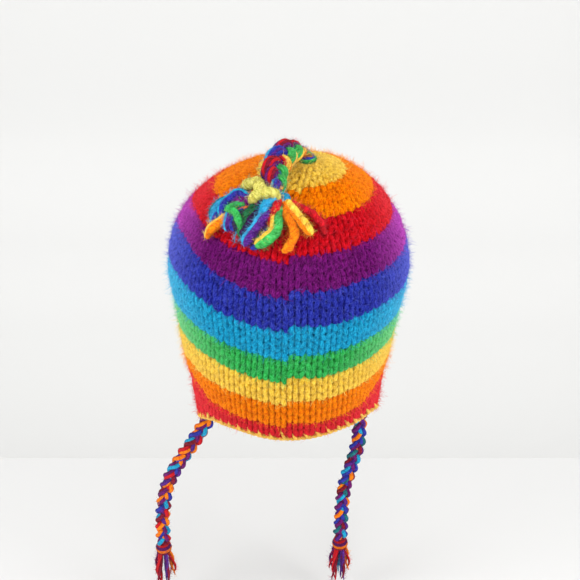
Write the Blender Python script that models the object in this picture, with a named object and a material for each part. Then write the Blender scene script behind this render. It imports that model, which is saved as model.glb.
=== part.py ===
"""Ear-flap beanie: striped knitted wall, cast-off edging, braided ties and a braided topknot.

Units are metres and +Z is up. The origin is the inner top of the crown, where the hat is
carried. The centre back, where every round of the knitting starts, faces -Y. Azimuth is
measured from the centre back and grows towards +X. A run is a distance along the outer wall,
from the bottom of the rim's edging up to the crown's tip.
"""

import math
from bisect import bisect_right

import bmesh
import bpy
from mathutils import Vector

MM = 0.001

# Driving sizes of the knitted hat
HAT_HEIGHT = 211.0 * MM
HAT_WIDTH = 192.0 * MM
HAT_DEPTH = 203.0 * MM
WALL = 5.0 * MM
CROWN_DRIFT = 15.0 * MM
GAP = 0.3 * MM

# Cast-off edging and ear flaps
EDGING_HEIGHT = 6.0 * MM
EDGING_PROUD = 0.8 * MM
FLAP_DROP = 27.0 * MM
FLAP_HALF_ANGLE = math.radians(52.0)
FLAP_LEAST_HEIGHT = 1.2 * MM

# Rows of the knitting step at the start of the round, stretch on the hat's left side and climb
# over the ear flaps. The jog's spreads are angles in radians over which a step fades out, and
# the flap's reach and spread are shares of the wall's whole run.
JOG_RISE = 0.5 * MM
JOG_FALL = 6.0 * MM
JOG_RISE_SPREAD = 0.5
JOG_FALL_SPREAD = 0.4
SIDE_STRETCH = 12.0 * MM
SIDE_AZIMUTH = math.radians(-72.0)
SIDE_SPREAD = math.radians(32.0)
LOW_STRETCH_SHARE = 0.3
LEFT_LIFT = 7.0 * MM
LEFT_LIFT_AZIMUTH = math.radians(-65.0)
LEFT_LIFT_SPREAD = math.radians(42.0)
RIGHT_SAG = 2.5 * MM
RIGHT_SAG_AZIMUTH = math.radians(18.0)
RIGHT_SAG_SPREAD = math.radians(15.0)
LIFT_TOP = 0.80
LIFT_FADE = 0.38
FLAP_RISE = 15.0 * MM
FLAP_RISE_REACH = 0.081
FLAP_RISE_SPREAD = 0.075
FLAP_RISE_MIDDLE = math.radians(95.0)
FLAP_RISE_HALF_ANGLE = math.radians(38.0)
FLAP_RISE_EDGE = math.radians(20.0)

# Braided ties and their tassels
TIE_DIAMETER = 13.5 * MM
TIE_LENGTH = 155.0 * MM
TIE_NECK = 5.0 * MM
TIE_KNOT_WIDTH = 15.0 * MM
TIE_KNOT_HEIGHT = 13.0 * MM
TIE_LOCK_LENGTH = 42.0 * MM
TIE_LOCK_DIAMETER = 4.6 * MM

# Topknot
ROOT_KNOT_WIDTH = 15.0 * MM
ROOT_KNOT_HEIGHT = 5.0 * MM
BRAID_WIDTH = 23.0 * MM
BRAID_THICKNESS = 17.0 * MM
BRAID_CYCLE = 38.0 * MM
BRAID_PHASE = math.radians(124.0)
BRAID_STRAND_SHARE = 0.23
BRAID_NECK = 24.0 * MM
BRAID_NECK_SHARE = 0.34
BRAID_TAIL = 14.0 * MM
BRAID_TAIL_SHARE = 0.72
BRAID_RISE = 10.0 * MM
TASSEL_HEAD_WIDTH = 16.0 * MM
TASSEL_HEAD_HEIGHT = 10.0 * MM
HEAD_REACH = 58.0 * MM
HEAD_AZIMUTH = math.radians(-13.0)
LOCK_DIAMETER = 7.0 * MM

# Mesh fineness
WALL_COLUMNS = 48
EDGE_COLUMNS = 72
BRAID_LOOPS = 26
PROFILE_STEPS = 10
NORMAL_STEP = 0.4 * MM
TURN_STEP = 0.01
CIRCLE = 2.0 * math.pi

# Yarn colours
RED = (0.62, 0.02, 0.03)
ORANGE = (0.95, 0.24, 0.01)
YELLOW = (0.93, 0.55, 0.07)
GREEN = (0.06, 0.46, 0.10)
TURQUOISE = (0.01, 0.36, 0.62)
BLUE = (0.05, 0.09, 0.50)
PURPLE = (0.20, 0.02, 0.24)
EDGE_YELLOW = (0.96, 0.62, 0.15)
MIXED = (0.35, 0.08, 0.20)
YARN_ROUGHNESS = 0.95

# Outer wall from below the rim to the crown's tip. Each row gives shares of the hat's height,
# of half its width, of half its depth and of the crown's drift towards +X.
PROFILE = (
    # height, width, depth, drift
    (-0.190, 0.650, 0.562, -0.10),
    (-0.123, 0.745, 0.635, -0.10),
    (-0.057, 0.797, 0.700, -0.10),
    (0.000, 0.815, 0.734, -0.10),
    (0.057, 0.826, 0.764, -0.10),
    (0.118, 0.842, 0.803, -0.10),
    (0.213, 0.880, 0.872, -0.10),
    (0.308, 0.915, 0.911, -0.10),
    (0.403, 0.937, 0.934, -0.05),
    (0.498, 0.973, 0.972, 0.00),
    (0.578, 1.000, 1.000, 0.00),
    (0.654, 0.990, 0.987, 0.00),
    (0.725, 0.952, 0.948, 0.00),
    (0.796, 0.873, 0.869, 0.03),
    (0.863, 0.755, 0.752, 0.13),
    (0.915, 0.615, 0.611, 0.30),
    (0.957, 0.448, 0.448, 0.57),
    (0.983, 0.281, 0.281, 0.80),
    (0.996, 0.135, 0.133, 0.95),
    (1.000, 0.000, 0.000, 1.00),
)

# Stripes from the edging upwards: the upper end as a share of the wall's whole run
STRIPES = (
    # name, top, spans, colour
    ("stripe_red_low", 0.081, 1, RED),
    ("stripe_orange_low", 0.183, 1, ORANGE),
    ("stripe_yellow_low", 0.271, 1, YELLOW),
    ("stripe_green", 0.355, 1, GREEN),
    ("stripe_turquoise", 0.456, 2, TURQUOISE),
    ("stripe_blue", 0.557, 2, BLUE),
    ("stripe_purple", 0.652, 2, PURPLE),
    ("stripe_red_high", 0.751, 2, RED),
    ("stripe_orange_high", 0.868, 2, ORANGE),
)
CROWN_SPANS = 3

# Ear flaps: where the tip of each hangs
FLAPS = (
    # side, azimuth of the tip
    ("left", math.radians(-100.0)),
    ("right", math.radians(112.0)),
)

# Route of each tie below its flap, as offsets in millimetres from where it leaves the edging
TIE_ROUTES = {
    "left": (
        (0, 0, 0), (0, 0, -6), (-5, -1, -17), (-14, -3, -32), (-25, -5, -49),
        (-36, -7, -68), (-43, -8, -90), (-46, -9, -113), (-47, -9, -138), (-47, -9, -160),
    ),
    "right": (
        (0, 0, 0), (0, 0, -6), (0.5, 0, -17), (1, 0, -30), (0.5, 0, -43),
        (-2, -1, -57), (-6, -2, -72), (-10.5, -3, -91), (-13, -4, -113), (-14, -4, -160),
    ),
}

# Locks of yarn at the foot of each tie: direction round the knot, spread and length shares
TIE_LOCKS = (
    # azimuth in degrees, spread, length
    (0, 0.30, 1.00),
    (70, 0.42, 0.86),
    (140, 0.34, 0.95),
    (215, 0.46, 0.80),
    (290, 0.38, 0.92),
)

# Centre line of the topknot's braid, as offsets in millimetres from the top of its root knot,
# and the direction that the braid's flat face looks in, at its root and further on
BRAID_ROUTE = (
    (0, 0, 0), (-1.5, -0.5, 2), (-6, -4, 5), (-10.5, -9, 7.5), (-15, -15.5, 8.5),
    (-19.5, -23, 7), (-22, -31, 3.5), (-22.5, -39, -0.5), (-21.5, -46, -4.5), (-20, -51.5, -8.5),
)
BRAID_ROOT_FACE = (0.6, 0.5, 0.6)
BRAID_FACE = (0.5, 0.0, 0.87)

# Locks of the topknot's tassel. Each runs over the crown through a few places, given as the
# distance from the crown's tip along the wall in millimetres, the azimuth in degrees and the
# height of the lock's middle over the wall as a share of its own diameter.
TASSEL_LOCKS = (
    # name, diameter share, places
    ("olive_far", 1.35, ((59, -27, 1.2), (52, -36, 1.3), (54, -42, 1.1), (56, -46, 0.8))),
    ("olive_near", 1.20, ((58, -20, 1.6), (61, -26, 1.6), (65, -29, 1.3))),
    ("blue_arc", 1.15, ((61, -30, 0.9), (60, -42, 1.2), (66, -47, 1.1), (73, -47, 1.0), (78, -44, 0.8))),
    ("turquoise_edge", 0.95, ((60, -40, 0.8), (67, -52, 0.8), (75, -54, 0.8), (82, -52, 0.7))),
    ("purple_arc", 1.50, ((62, -29, 0.7), (63, -37, 0.7), (69, -41, 0.7))),
    ("orange_left", 1.25, ((62, -28, 0.6), (74, -38, 0.6), (87, -44, 0.7), (95, -45, 0.6))),
    ("purple_drop", 1.20, ((60, -26, 0.7), (70, -38, 0.8), (79, -38, 0.8), (85, -35, 0.7))),
    ("green_hook", 0.85, ((62, -30, 1.2), (73, -41, 1.6), (74, -34, 1.8), (83, -27, 1.4))),
    ("green_dark", 0.85, ((62, -26, 1.2), (70, -29, 1.3), (77, -28, 1.2))),
    ("turquoise_arc", 1.10, ((56, -13, 1.3), (60, -17, 1.5), (66, -18, 1.4), (75, -17, 0.9))),
    ("violet_tail", 1.40, ((64, -15, 0.7), (76, -18, 0.8), (86, -21, 0.7), (92, -23, 0.6))),
    ("red_tail", 0.75, ((66, -22, 0.8), (78, -28, 0.9), (91, -29, 0.7))),
    ("green_leaf", 1.40, ((62, -11, 0.7), (72, -9, 0.8), (82, -9, 0.7), (91, -17, 0.6))),
    ("red_short", 1.15, ((58, -11, 1.1), (65, -12, 1.2), (71, -12, 1.0), (77, -12, 0.8))),
    ("orange_hook", 1.15, ((60, -8, 0.9), (70, -3, 0.8), (81, 2, 0.7), (89, 0, 0.6), (94, -3, 0.6))),
    ("yellow_lock", 1.30, ((59, -6, 0.9), (67, 1, 0.8), (75, 7, 0.8), (82, 11, 0.6))),
    ("red_long", 0.95, ((57, -7, 1.0), (60, 2, 0.9), (67, 12, 0.8), (74, 17, 0.7), (82, 19, 0.6))),
)


def clear_scene():
    """Remove what the start-up file holds and return the collection for the parts."""
    for existing in list(bpy.data.objects):
        bpy.data.objects.remove(existing, do_unlink=True)
    collection = bpy.data.collections.new("ear_flap_beanie")
    bpy.context.scene.collection.children.link(collection)
    return collection


def yarn_material(name, colour):
    """Matt wool in one colour."""
    material = bpy.data.materials.new(name)
    material.use_nodes = True
    shader = material.node_tree.nodes["Principled BSDF"]
    shader.inputs["Base Color"].default_value = (*colour, 1.0)
    shader.inputs["Roughness"].default_value = YARN_ROUGHNESS
    shader.inputs["Metallic"].default_value = 0.0
    return material


def mix(low, high, share):
    return low + (high - low) * share


def catmull_rom(points, steps):
    """Read a smooth curve through the points, with a number of steps between each pair."""
    curve = []
    last = len(points) - 1
    for index in range(last):
        before = points[max(index - 1, 0)]
        start = points[index]
        end = points[index + 1]
        after = points[min(index + 2, last)]
        for step in range(steps):
            t = step / steps
            curve.append(tuple(
                0.5 * (2 * b + (c - a) * t + (2 * a - 5 * b + 4 * c - d) * t ** 2
                       + (3 * b - a - 3 * c + d) * t ** 3)
                for a, b, c, d in zip(before, start, end, after)
            ))
    curve.append(tuple(points[last]))
    return curve


def wall_stations():
    """Smooth profile rows as (run, height, half width, half depth, drift), with the run measured
    along the mean outline and zero at the rim."""
    rim_height = WALL - HAT_HEIGHT
    sizes = [
        (rim_height + height * HAT_HEIGHT, width * HAT_WIDTH / 2, depth * HAT_DEPTH / 2,
         drift * CROWN_DRIFT)
        for height, width, depth, drift in PROFILE
    ]
    curve = catmull_rom(sizes, PROFILE_STEPS)
    runs = [0.0]
    for low, high in zip(curve, curve[1:]):
        spread = (high[1] + high[2] - low[1] - low[2]) / 2
        runs.append(runs[-1] + math.hypot(high[0] - low[0], spread))
    at_rim = next(run for run, row in zip(runs, curve) if row[0] >= rim_height - 1e-9)
    return [(run - at_rim, *row) for run, row in zip(runs, curve)]


STATIONS = wall_stations()
STATION_RUNS = [station[0] for station in STATIONS]
FULL_RUN = STATION_RUNS[-1]
RIM_FADE = 0.055 * FULL_RUN
CROWN_FADE = 0.12 * FULL_RUN


def wall_section(run):
    """Height, half width, half depth and drift of the outer wall at a run."""
    index = min(max(bisect_right(STATION_RUNS, run) - 1, 0), len(STATIONS) - 2)
    low = STATIONS[index]
    high = STATIONS[index + 1]
    share = (run - low[0]) / (high[0] - low[0])
    return [mix(a, b, share) for a, b in zip(low[1:], high[1:])]


def outer_point(run, azimuth):
    height, half_width, half_depth, drift = wall_section(run)
    return Vector((
        half_width * math.sin(azimuth) + drift,
        -half_depth * math.cos(azimuth),
        height,
    ))


def wall_normal(run, azimuth):
    """Outward direction of the wall."""
    if run > FULL_RUN - NORMAL_STEP:
        return Vector((0.0, 0.0, 1.0))
    upward = outer_point(run + NORMAL_STEP, azimuth) - outer_point(run - NORMAL_STEP, azimuth)
    around = outer_point(run, azimuth + TURN_STEP) - outer_point(run, azimuth - TURN_STEP)
    return around.cross(upward).normalized()


def wall_point(run, azimuth, depth=0.0):
    """Point a given depth inside the outer wall."""
    return outer_point(run, azimuth) - wall_normal(run, azimuth) * depth


def bump(value, middle, half_width):
    return math.exp(-((value - middle) / half_width) ** 2)


def smooth_step(value):
    share = min(max(value, 0.0), 1.0)
    return share * share * (3.0 - 2.0 * share)


def row_shift(run, azimuth):
    """How far a row of knitting lies above its usual run. Rows step at the centre back, where a
    round starts, spread apart on the left, towards which the crown's drift pulls them, and climb
    over the ear flaps, where the lowest red yarn has more rows."""
    turn = (azimuth + math.pi) % CIRCLE - math.pi
    if turn >= 0.0:
        jog = JOG_RISE * math.exp(-turn / JOG_RISE_SPREAD)
    else:
        jog = -JOG_FALL * math.exp(turn / JOG_FALL_SPREAD)
    reach = run / FULL_RUN
    stretch = SIDE_STRETCH * (
        bump(reach, 0.54, 0.14) - LOW_STRETCH_SHARE * bump(reach, 0.14, 0.12))
    off_flap = abs(abs(turn) - FLAP_RISE_MIDDLE)
    over_flap = smooth_step((FLAP_RISE_HALF_ANGLE - off_flap) / FLAP_RISE_EDGE + 0.5)
    climb = FLAP_RISE * bump(reach, FLAP_RISE_REACH, FLAP_RISE_SPREAD) * over_flap
    lift = LEFT_LIFT * bump(turn, LEFT_LIFT_AZIMUTH, LEFT_LIFT_SPREAD)
    lift -= RIGHT_SAG * bump(turn, RIGHT_SAG_AZIMUTH, RIGHT_SAG_SPREAD)
    lift *= smooth_step((LIFT_TOP - reach) / LIFT_FADE)
    shift = jog + climb + lift + stretch * bump(turn, SIDE_AZIMUTH, SIDE_SPREAD)
    rim_fade = min(max((run - EDGING_HEIGHT) / RIM_FADE, 0.0), 1.0)
    crown_fade = min(max((FULL_RUN - run) / CROWN_FADE, 0.0), 1.0)
    return shift * rim_fade * crown_fade


def flap_drop(azimuth):
    """How far the flaps carry the fabric below the rim at an azimuth."""
    drop = 0.0
    for _side, tip in FLAPS:
        turn = (azimuth - tip + math.pi) % CIRCLE - math.pi
        if abs(turn) < FLAP_HALF_ANGLE:
            drop = FLAP_DROP * math.cos(turn / FLAP_HALF_ANGLE * math.pi / 2) ** 1.5
    return drop


def new_object(name, mesh, colour, collection):
    thing = bpy.data.objects.new(name, mesh)
    thing.data.materials.append(yarn_material(name, colour))
    collection.objects.link(thing)
    for polygon in thing.data.polygons:
        polygon.use_smooth = True
    thing.data.set_sharp_from_angle(angle=math.radians(50.0))
    return thing


def fan_cap(bm, loop):
    """Close a loop with triangles round its middle."""
    middle = bm.verts.new(sum((vert.co for vert in loop), Vector()) / len(loop))
    for index, vert in enumerate(loop):
        bm.faces.new((vert, loop[(index + 1) % len(loop)], middle))


def loft(name, loops, closed):
    """Mesh through closed loops of equally many points. A closed loft joins its last loop to
    its first, and an open one has a cap at each end."""
    bm = bmesh.new()
    rings = [[bm.verts.new(point) for point in loop] for loop in loops]
    pairs = list(zip(rings, rings[1:]))
    if closed:
        pairs.append((rings[-1], rings[0]))
    for low, high in pairs:
        count = len(low)
        for index in range(count):
            after = (index + 1) % count
            bm.faces.new((low[index], low[after], high[after], high[index]))
    if not closed:
        fan_cap(bm, rings[0])
        fan_cap(bm, rings[-1])
    bmesh.ops.recalc_face_normals(bm, faces=bm.faces)
    mesh = bpy.data.meshes.new(name)
    bm.to_mesh(mesh)
    bm.free()
    return mesh


def column_azimuths(count):
    """Azimuths of a round of columns, none of them at the start of the round."""
    return [(index + 0.5) * CIRCLE / count for index in range(count)]


def wall_loop(run, depth):
    return [
        wall_point(run + row_shift(run, azimuth), azimuth, depth)
        for azimuth in column_azimuths(WALL_COLUMNS)
    ]


def stripe(name, low, high, spans, colour, collection):
    """One stripe of the wall, a ring with an outer and an inner face."""
    runs = [mix(low, high, index / spans) for index in range(spans + 1)]
    loops = [wall_loop(run, 0.0) for run in runs]
    loops += [wall_loop(run, WALL) for run in reversed(runs)]
    return new_object(name, loft(name, loops, closed=True), colour, collection)


def crown_cap(low, collection):
    """Yellow cap that closes the crown."""
    bm = bmesh.new()
    runs = [mix(low, FULL_RUN, index / CROWN_SPANS) for index in range(CROWN_SPANS)]
    skins = []
    for depth in (0.0, WALL):
        rings = [[bm.verts.new(point) for point in wall_loop(run, depth)] for run in runs]
        tip = bm.verts.new(wall_point(FULL_RUN, 0.0, depth))
        skins.append((rings, tip))
    for rings, tip in skins:
        for lower, upper in zip(rings, rings[1:]):
            for index in range(WALL_COLUMNS):
                after = (index + 1) % WALL_COLUMNS
                bm.faces.new((lower[index], lower[after], upper[after], upper[index]))
        for index in range(WALL_COLUMNS):
            bm.faces.new((rings[-1][index], rings[-1][(index + 1) % WALL_COLUMNS], tip))
    outer_rim = skins[0][0][0]
    inner_rim = skins[1][0][0]
    for index in range(WALL_COLUMNS):
        after = (index + 1) % WALL_COLUMNS
        bm.faces.new((outer_rim[index], outer_rim[after], inner_rim[after], inner_rim[index]))
    bmesh.ops.recalc_face_normals(bm, faces=bm.faces)
    mesh = bpy.data.meshes.new("crown_yellow")
    bm.to_mesh(mesh)
    bm.free()
    return new_object("crown_yellow", mesh, YELLOW, collection)


def make_wall(collection):
    """The edging's neighbour up to the crown, one ring for each stripe, then the cap."""
    low = EDGING_HEIGHT
    for name, top, spans, colour in STRIPES:
        high = top * FULL_RUN
        stripe(name, low + GAP / 2, high - GAP / 2, spans, colour, collection)
        low = high
    crown_cap(low + GAP / 2, collection)


def edging_top(azimuth):
    return EDGING_HEIGHT - GAP / 2 - flap_drop(azimuth)


def edging_loop(azimuth):
    """Six-sided section of the edging."""
    top = edging_top(azimuth)
    bottom = top - EDGING_HEIGHT + GAP
    middle = (top + bottom) / 2
    outside = -EDGING_PROUD
    inside = WALL + EDGING_PROUD
    return [
        wall_point(top, azimuth, 0.0),
        wall_point(middle, azimuth, outside),
        wall_point(bottom, azimuth, WALL * 0.15),
        wall_point(bottom, azimuth, WALL * 0.85),
        wall_point(middle, azimuth, inside),
        wall_point(top, azimuth, WALL),
    ]


def make_edging(collection):
    loops = [edging_loop(azimuth) for azimuth in column_azimuths(EDGE_COLUMNS)]
    mesh = loft("rim_edging", loops, closed=True)
    new_object("rim_edging", mesh, EDGE_YELLOW, collection)


def flap_loop(azimuth):
    """Section of a flap between the lowest stripe and the edging."""
    top = EDGING_HEIGHT - GAP / 2
    bottom = edging_top(azimuth) + GAP
    middle = (top + bottom) / 2
    return [
        wall_point(top, azimuth, 0.0), wall_point(middle, azimuth, 0.0),
        wall_point(bottom, azimuth, 0.0), wall_point(bottom, azimuth, WALL),
        wall_point(middle, azimuth, WALL), wall_point(top, azimuth, WALL),
    ]


def make_flaps(collection):
    for side, tip in FLAPS:
        loops = []
        for azimuth in column_azimuths(EDGE_COLUMNS):
            turn = (azimuth - tip + math.pi) % CIRCLE - math.pi
            if abs(turn) > FLAP_HALF_ANGLE or flap_drop(azimuth) < FLAP_LEAST_HEIGHT + GAP:
                continue
            loops.append(flap_loop(azimuth))
        name = "ear_flap_" + side
        new_object(name, loft(name, loops, closed=False), RED, collection)


def path_length(points):
    return sum((end - start).length for start, end in zip(points, points[1:]))


def cut_to_length(points, length):
    """Keep the first stretch of a path."""
    kept = [points[0]]
    left = length
    for start, end in zip(points, points[1:]):
        span = (end - start).length
        if span >= left:
            kept.append(start.lerp(end, left / span))
            return kept
        kept.append(end)
        left -= span
    return kept


def spread_evenly(points, count):
    """Read a path at equal distances."""
    total = path_length(points)
    places = []
    for index in range(count):
        places.append(cut_to_length(points, total * index / (count - 1))[-1])
    return places


def tie_path(side, tip):
    """Smooth centre line of a tie, from under the edging of its flap."""
    section = edging_loop(tip)
    root = wall_point(edging_top(tip) - EDGING_HEIGHT, tip, WALL / 2)
    root.z = min(point.z for point in section) - GAP
    route = [root + Vector(offset) * MM for offset in TIE_ROUTES[side]]
    smooth = cut_to_length([Vector(point) for point in catmull_rom(route, 8)], TIE_LENGTH)
    count = round(TIE_LENGTH / (1.6 * TIE_DIAMETER)) + 1
    path = spread_evenly(smooth, count)
    neck = root - Vector((0.0, 0.0, TIE_NECK))
    return [root, neck] + path[1:]


def tube_mesh(name, points, diameter, sides, shares=None):
    """Closed tube along a path, with its thickness scaled by a share at each point."""
    data = bpy.data.curves.new(name, "CURVE")
    data.dimensions = "3D"
    spline = data.splines.new("POLY")
    spline.points.add(len(points) - 1)
    for index, point in enumerate(points):
        spline.points[index].co = (*point, 1.0)
        if shares:
            spline.points[index].radius = shares[index]
    data.bevel_depth = diameter / 2
    data.bevel_resolution = (sides - 4) // 2
    data.use_fill_caps = True
    guide = bpy.data.objects.new(name + "_curve", data)
    bpy.context.scene.collection.objects.link(guide)
    bpy.context.view_layer.update()
    evaluated = guide.evaluated_get(bpy.context.evaluated_depsgraph_get())
    mesh = bpy.data.meshes.new_from_object(evaluated)
    bpy.data.objects.remove(guide, do_unlink=True)
    bm = bmesh.new()
    bm.from_mesh(mesh)
    bmesh.ops.remove_doubles(bm, verts=bm.verts, dist=0.01 * MM)
    bmesh.ops.recalc_face_normals(bm, faces=bm.faces)
    bm.to_mesh(mesh)
    bm.free()
    return mesh


def ellipsoid_mesh(name, centre, width, height, up):
    """Rounded head, flat along one direction."""
    bm = bmesh.new()
    bmesh.ops.create_uvsphere(bm, u_segments=12, v_segments=8, radius=0.5)
    turn = Vector((0.0, 0.0, 1.0)).rotation_difference(up).to_matrix()
    for vert in bm.verts:
        vert.co = centre + turn @ Vector((vert.co.x * width, vert.co.y * width, vert.co.z * height))
    mesh = bpy.data.meshes.new(name)
    bm.to_mesh(mesh)
    bm.free()
    return mesh


def fuse(base, pieces):
    """Join closed meshes into one body, one union at a time."""
    for mesh in pieces:
        cutter = bpy.data.objects.new("fuse_cutter", mesh)
        bpy.context.scene.collection.objects.link(cutter)
        union = base.modifiers.new("fuse", "BOOLEAN")
        union.operation = "UNION"
        union.solver = "MANIFOLD"
        union.object = cutter
        bpy.context.view_layer.update()
        evaluated = base.evaluated_get(bpy.context.evaluated_depsgraph_get())
        joined = bpy.data.meshes.new_from_object(evaluated)
        base.modifiers.remove(union)
        base.data = joined
        bpy.data.objects.remove(cutter, do_unlink=True)


def make_ties(collection):
    """Both ties, each with an end knot and its loose yarn ends."""
    for side, tip in FLAPS:
        path = tie_path(side, tip)
        name = "tie_" + side
        new_object(name, tube_mesh(name, path, TIE_DIAMETER, 10), MIXED, collection)
        make_tie_tassel("tie_tassel_" + side, path, collection)


def make_tie_tassel(name, path, collection):
    along = (path[-1] - path[-2]).normalized()
    centre = path[-1] + along * (TIE_KNOT_HEIGHT / 2 + GAP)
    knot = ellipsoid_mesh(name, centre, TIE_KNOT_WIDTH, TIE_KNOT_HEIGHT, along)
    head = new_object(name, knot, MIXED, collection)
    side = along.orthogonal().normalized()
    locks = []
    for degrees, spread, length in TIE_LOCKS:
        angle = math.radians(degrees)
        outward = side * math.cos(angle) + along.cross(side) * math.sin(angle)
        reach = TIE_LOCK_LENGTH * length
        places = []
        for share in (0.0, 0.25, 0.5, 0.75, 1.0):
            offset = outward * reach * spread * share * (1.6 - share) * 0.55
            places.append(centre + along * reach * share + offset + outward * TIE_LOCK_DIAMETER * 0.5)
        locks.append(tube_mesh(name, places, TIE_LOCK_DIAMETER, 6, (0.8, 1.0, 1.05, 0.9, 0.45)))
    fuse(head, locks)


def make_root_knot(collection):
    """Small knot that ties the topknot's yarns to the crown's tip."""
    tip = wall_point(FULL_RUN, 0.0)
    loops = []
    for height, width in ((0.0, 0.80), (0.35, 1.0), (0.75, 0.92), (1.0, 0.66)):
        loops.append([
            tip + Vector((
                ROOT_KNOT_WIDTH / 2 * width * math.cos(angle) * (1 + 0.08 * math.cos(3 * angle)),
                ROOT_KNOT_WIDTH / 2 * width * math.sin(angle) * (1 + 0.08 * math.cos(3 * angle)),
                GAP + height * ROOT_KNOT_HEIGHT,
            ))
            for angle in [CIRCLE * index / 12 for index in range(12)]
        ])
    new_object("topknot_root", loft("topknot_root", loops, closed=False), ORANGE, collection)


def braid_reach(angle, phase, width, thickness):
    """Distance from a three-strand braid's middle to its outline in one direction."""
    strand = BRAID_STRAND_SHARE * width
    across = width / 2 - strand
    over = thickness / 2 - strand
    direction = (math.cos(angle), math.sin(angle))
    reach = 0.35 * thickness
    for index in range(3):
        turn = phase + index * CIRCLE / 3
        middle = (across * math.sin(turn), over * math.sin(2 * turn))
        along = middle[0] * direction[0] + middle[1] * direction[1]
        spare = strand ** 2 - middle[0] ** 2 - middle[1] ** 2 + along ** 2
        if spare > 0.0:
            reach = max(reach, along + math.sqrt(spare))
    return reach


def braid_frames(path):
    """Across and over directions at each point of the braid, which stands square on its root."""
    step = path_length(path) / (len(path) - 1)
    frames = []
    for index, point in enumerate(path):
        tangent = (path[min(index + 1, len(path) - 1)] - path[max(index - 1, 0)]).normalized()
        if index == 0:
            tangent = Vector((0.0, 0.0, 1.0))
        over = Vector(BRAID_ROOT_FACE).lerp(Vector(BRAID_FACE), min(index * step / BRAID_RISE, 1.0))
        over = (over - tangent * over.dot(tangent)).normalized()
        frames.append((point, tangent.cross(over), over))
    return frames


def braid_path():
    root_top = wall_point(FULL_RUN, 0.0) + Vector((0.0, 0.0, ROOT_KNOT_HEIGHT + 2 * GAP))
    route = [root_top + Vector(offset) * MM for offset in BRAID_ROUTE]
    return spread_evenly([Vector(point) for point in catmull_rom(route, 8)], BRAID_LOOPS)


def make_braid(collection):
    path = braid_path()
    step = path_length(path) / (len(path) - 1)
    loops = []
    for index, (point, across, over) in enumerate(braid_frames(path)):
        phase = CIRCLE * index * step / BRAID_CYCLE + BRAID_PHASE
        from_end = (len(path) - 1 - index) * step
        share = mix(BRAID_NECK_SHARE, 1.0, smooth_step(index * step / BRAID_NECK))
        share *= mix(BRAID_TAIL_SHARE, 1.0, min(from_end / BRAID_TAIL, 1.0))
        loops.append([
            point + (across * math.cos(angle) + over * math.sin(angle))
            * braid_reach(angle, phase, BRAID_WIDTH * share, BRAID_THICKNESS * share)
            for angle in [CIRCLE * side / 16 for side in range(16)]
        ])
    new_object("topknot_braid", loft("topknot_braid", loops, closed=False), PURPLE, collection)


def crown_place(reach, degrees, lift, diameter):
    """A place over the crown: reach from the tip in millimetres, azimuth in degrees, and lift
    over the wall in diameters."""
    return wall_point(FULL_RUN - reach * MM, math.radians(degrees), -lift * diameter - GAP)


def make_tassel(collection):
    """Felted locks that fan out from one head and lie on the crown."""
    path = braid_path()
    along = (path[-1] - path[-2]).normalized()
    up = wall_normal(FULL_RUN - HEAD_REACH, HEAD_AZIMUTH)
    rise = along.dot(up)
    half_length = math.hypot(
        TASSEL_HEAD_WIDTH / 2 * math.sqrt(1.0 - rise ** 2), TASSEL_HEAD_HEIGHT / 2 * rise)
    centre = path[-1] + along * (half_length + GAP)
    mesh = ellipsoid_mesh("topknot_tassel", centre, TASSEL_HEAD_WIDTH, TASSEL_HEAD_HEIGHT, up)
    head = new_object("topknot_tassel", mesh, TURQUOISE, collection)
    locks = []
    for _name, thickness, places in TASSEL_LOCKS:
        diameter = LOCK_DIAMETER * thickness
        points = [centre] + [crown_place(*place, diameter) for place in places]
        smooth = [Vector(point) for point in catmull_rom(points, 5)]
        count = round(path_length(smooth) / (0.85 * LOCK_DIAMETER)) + 1
        path = spread_evenly(smooth, count)
        shares = [1.0] * (count - 2) + [0.9, 0.45]
        locks.append(tube_mesh("topknot_tassel", path, diameter, 6, shares))
    fuse(head, locks)


def main():
    collection = clear_scene()
    make_wall(collection)
    make_edging(collection)
    make_flaps(collection)
    make_ties(collection)
    make_root_knot(collection)
    make_braid(collection)
    make_tassel(collection)


main()
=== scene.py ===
"""Looks of the ear-flap beanie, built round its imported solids.

Units are metres and +Z is up. Azimuth is measured from the centre back of the hat, which faces
-Y, and grows towards +X. A run is a distance along the outer wall, from the bottom of the rim's
edging up to the crown's tip. The knitting is made stitch by stitch: each stripe is one long
yarn that goes round the hat in loops, and loose fibres stand out of it.
"""

import math

import bpy
import numpy as np
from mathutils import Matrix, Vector


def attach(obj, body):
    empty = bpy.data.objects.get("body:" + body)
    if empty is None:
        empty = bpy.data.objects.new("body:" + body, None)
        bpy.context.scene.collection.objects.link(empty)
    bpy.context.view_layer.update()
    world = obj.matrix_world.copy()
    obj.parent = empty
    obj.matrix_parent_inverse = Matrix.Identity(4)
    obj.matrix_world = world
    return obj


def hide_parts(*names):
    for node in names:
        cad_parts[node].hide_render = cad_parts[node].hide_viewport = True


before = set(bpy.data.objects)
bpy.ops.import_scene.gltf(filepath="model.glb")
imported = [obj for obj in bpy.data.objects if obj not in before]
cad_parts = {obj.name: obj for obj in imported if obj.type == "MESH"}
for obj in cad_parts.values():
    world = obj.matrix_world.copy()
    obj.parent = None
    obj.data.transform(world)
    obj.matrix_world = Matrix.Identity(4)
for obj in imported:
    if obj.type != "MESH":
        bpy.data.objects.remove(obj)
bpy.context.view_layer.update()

MM = 0.001
CIRCLE = 2.0 * math.pi
BODY = "root"

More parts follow.
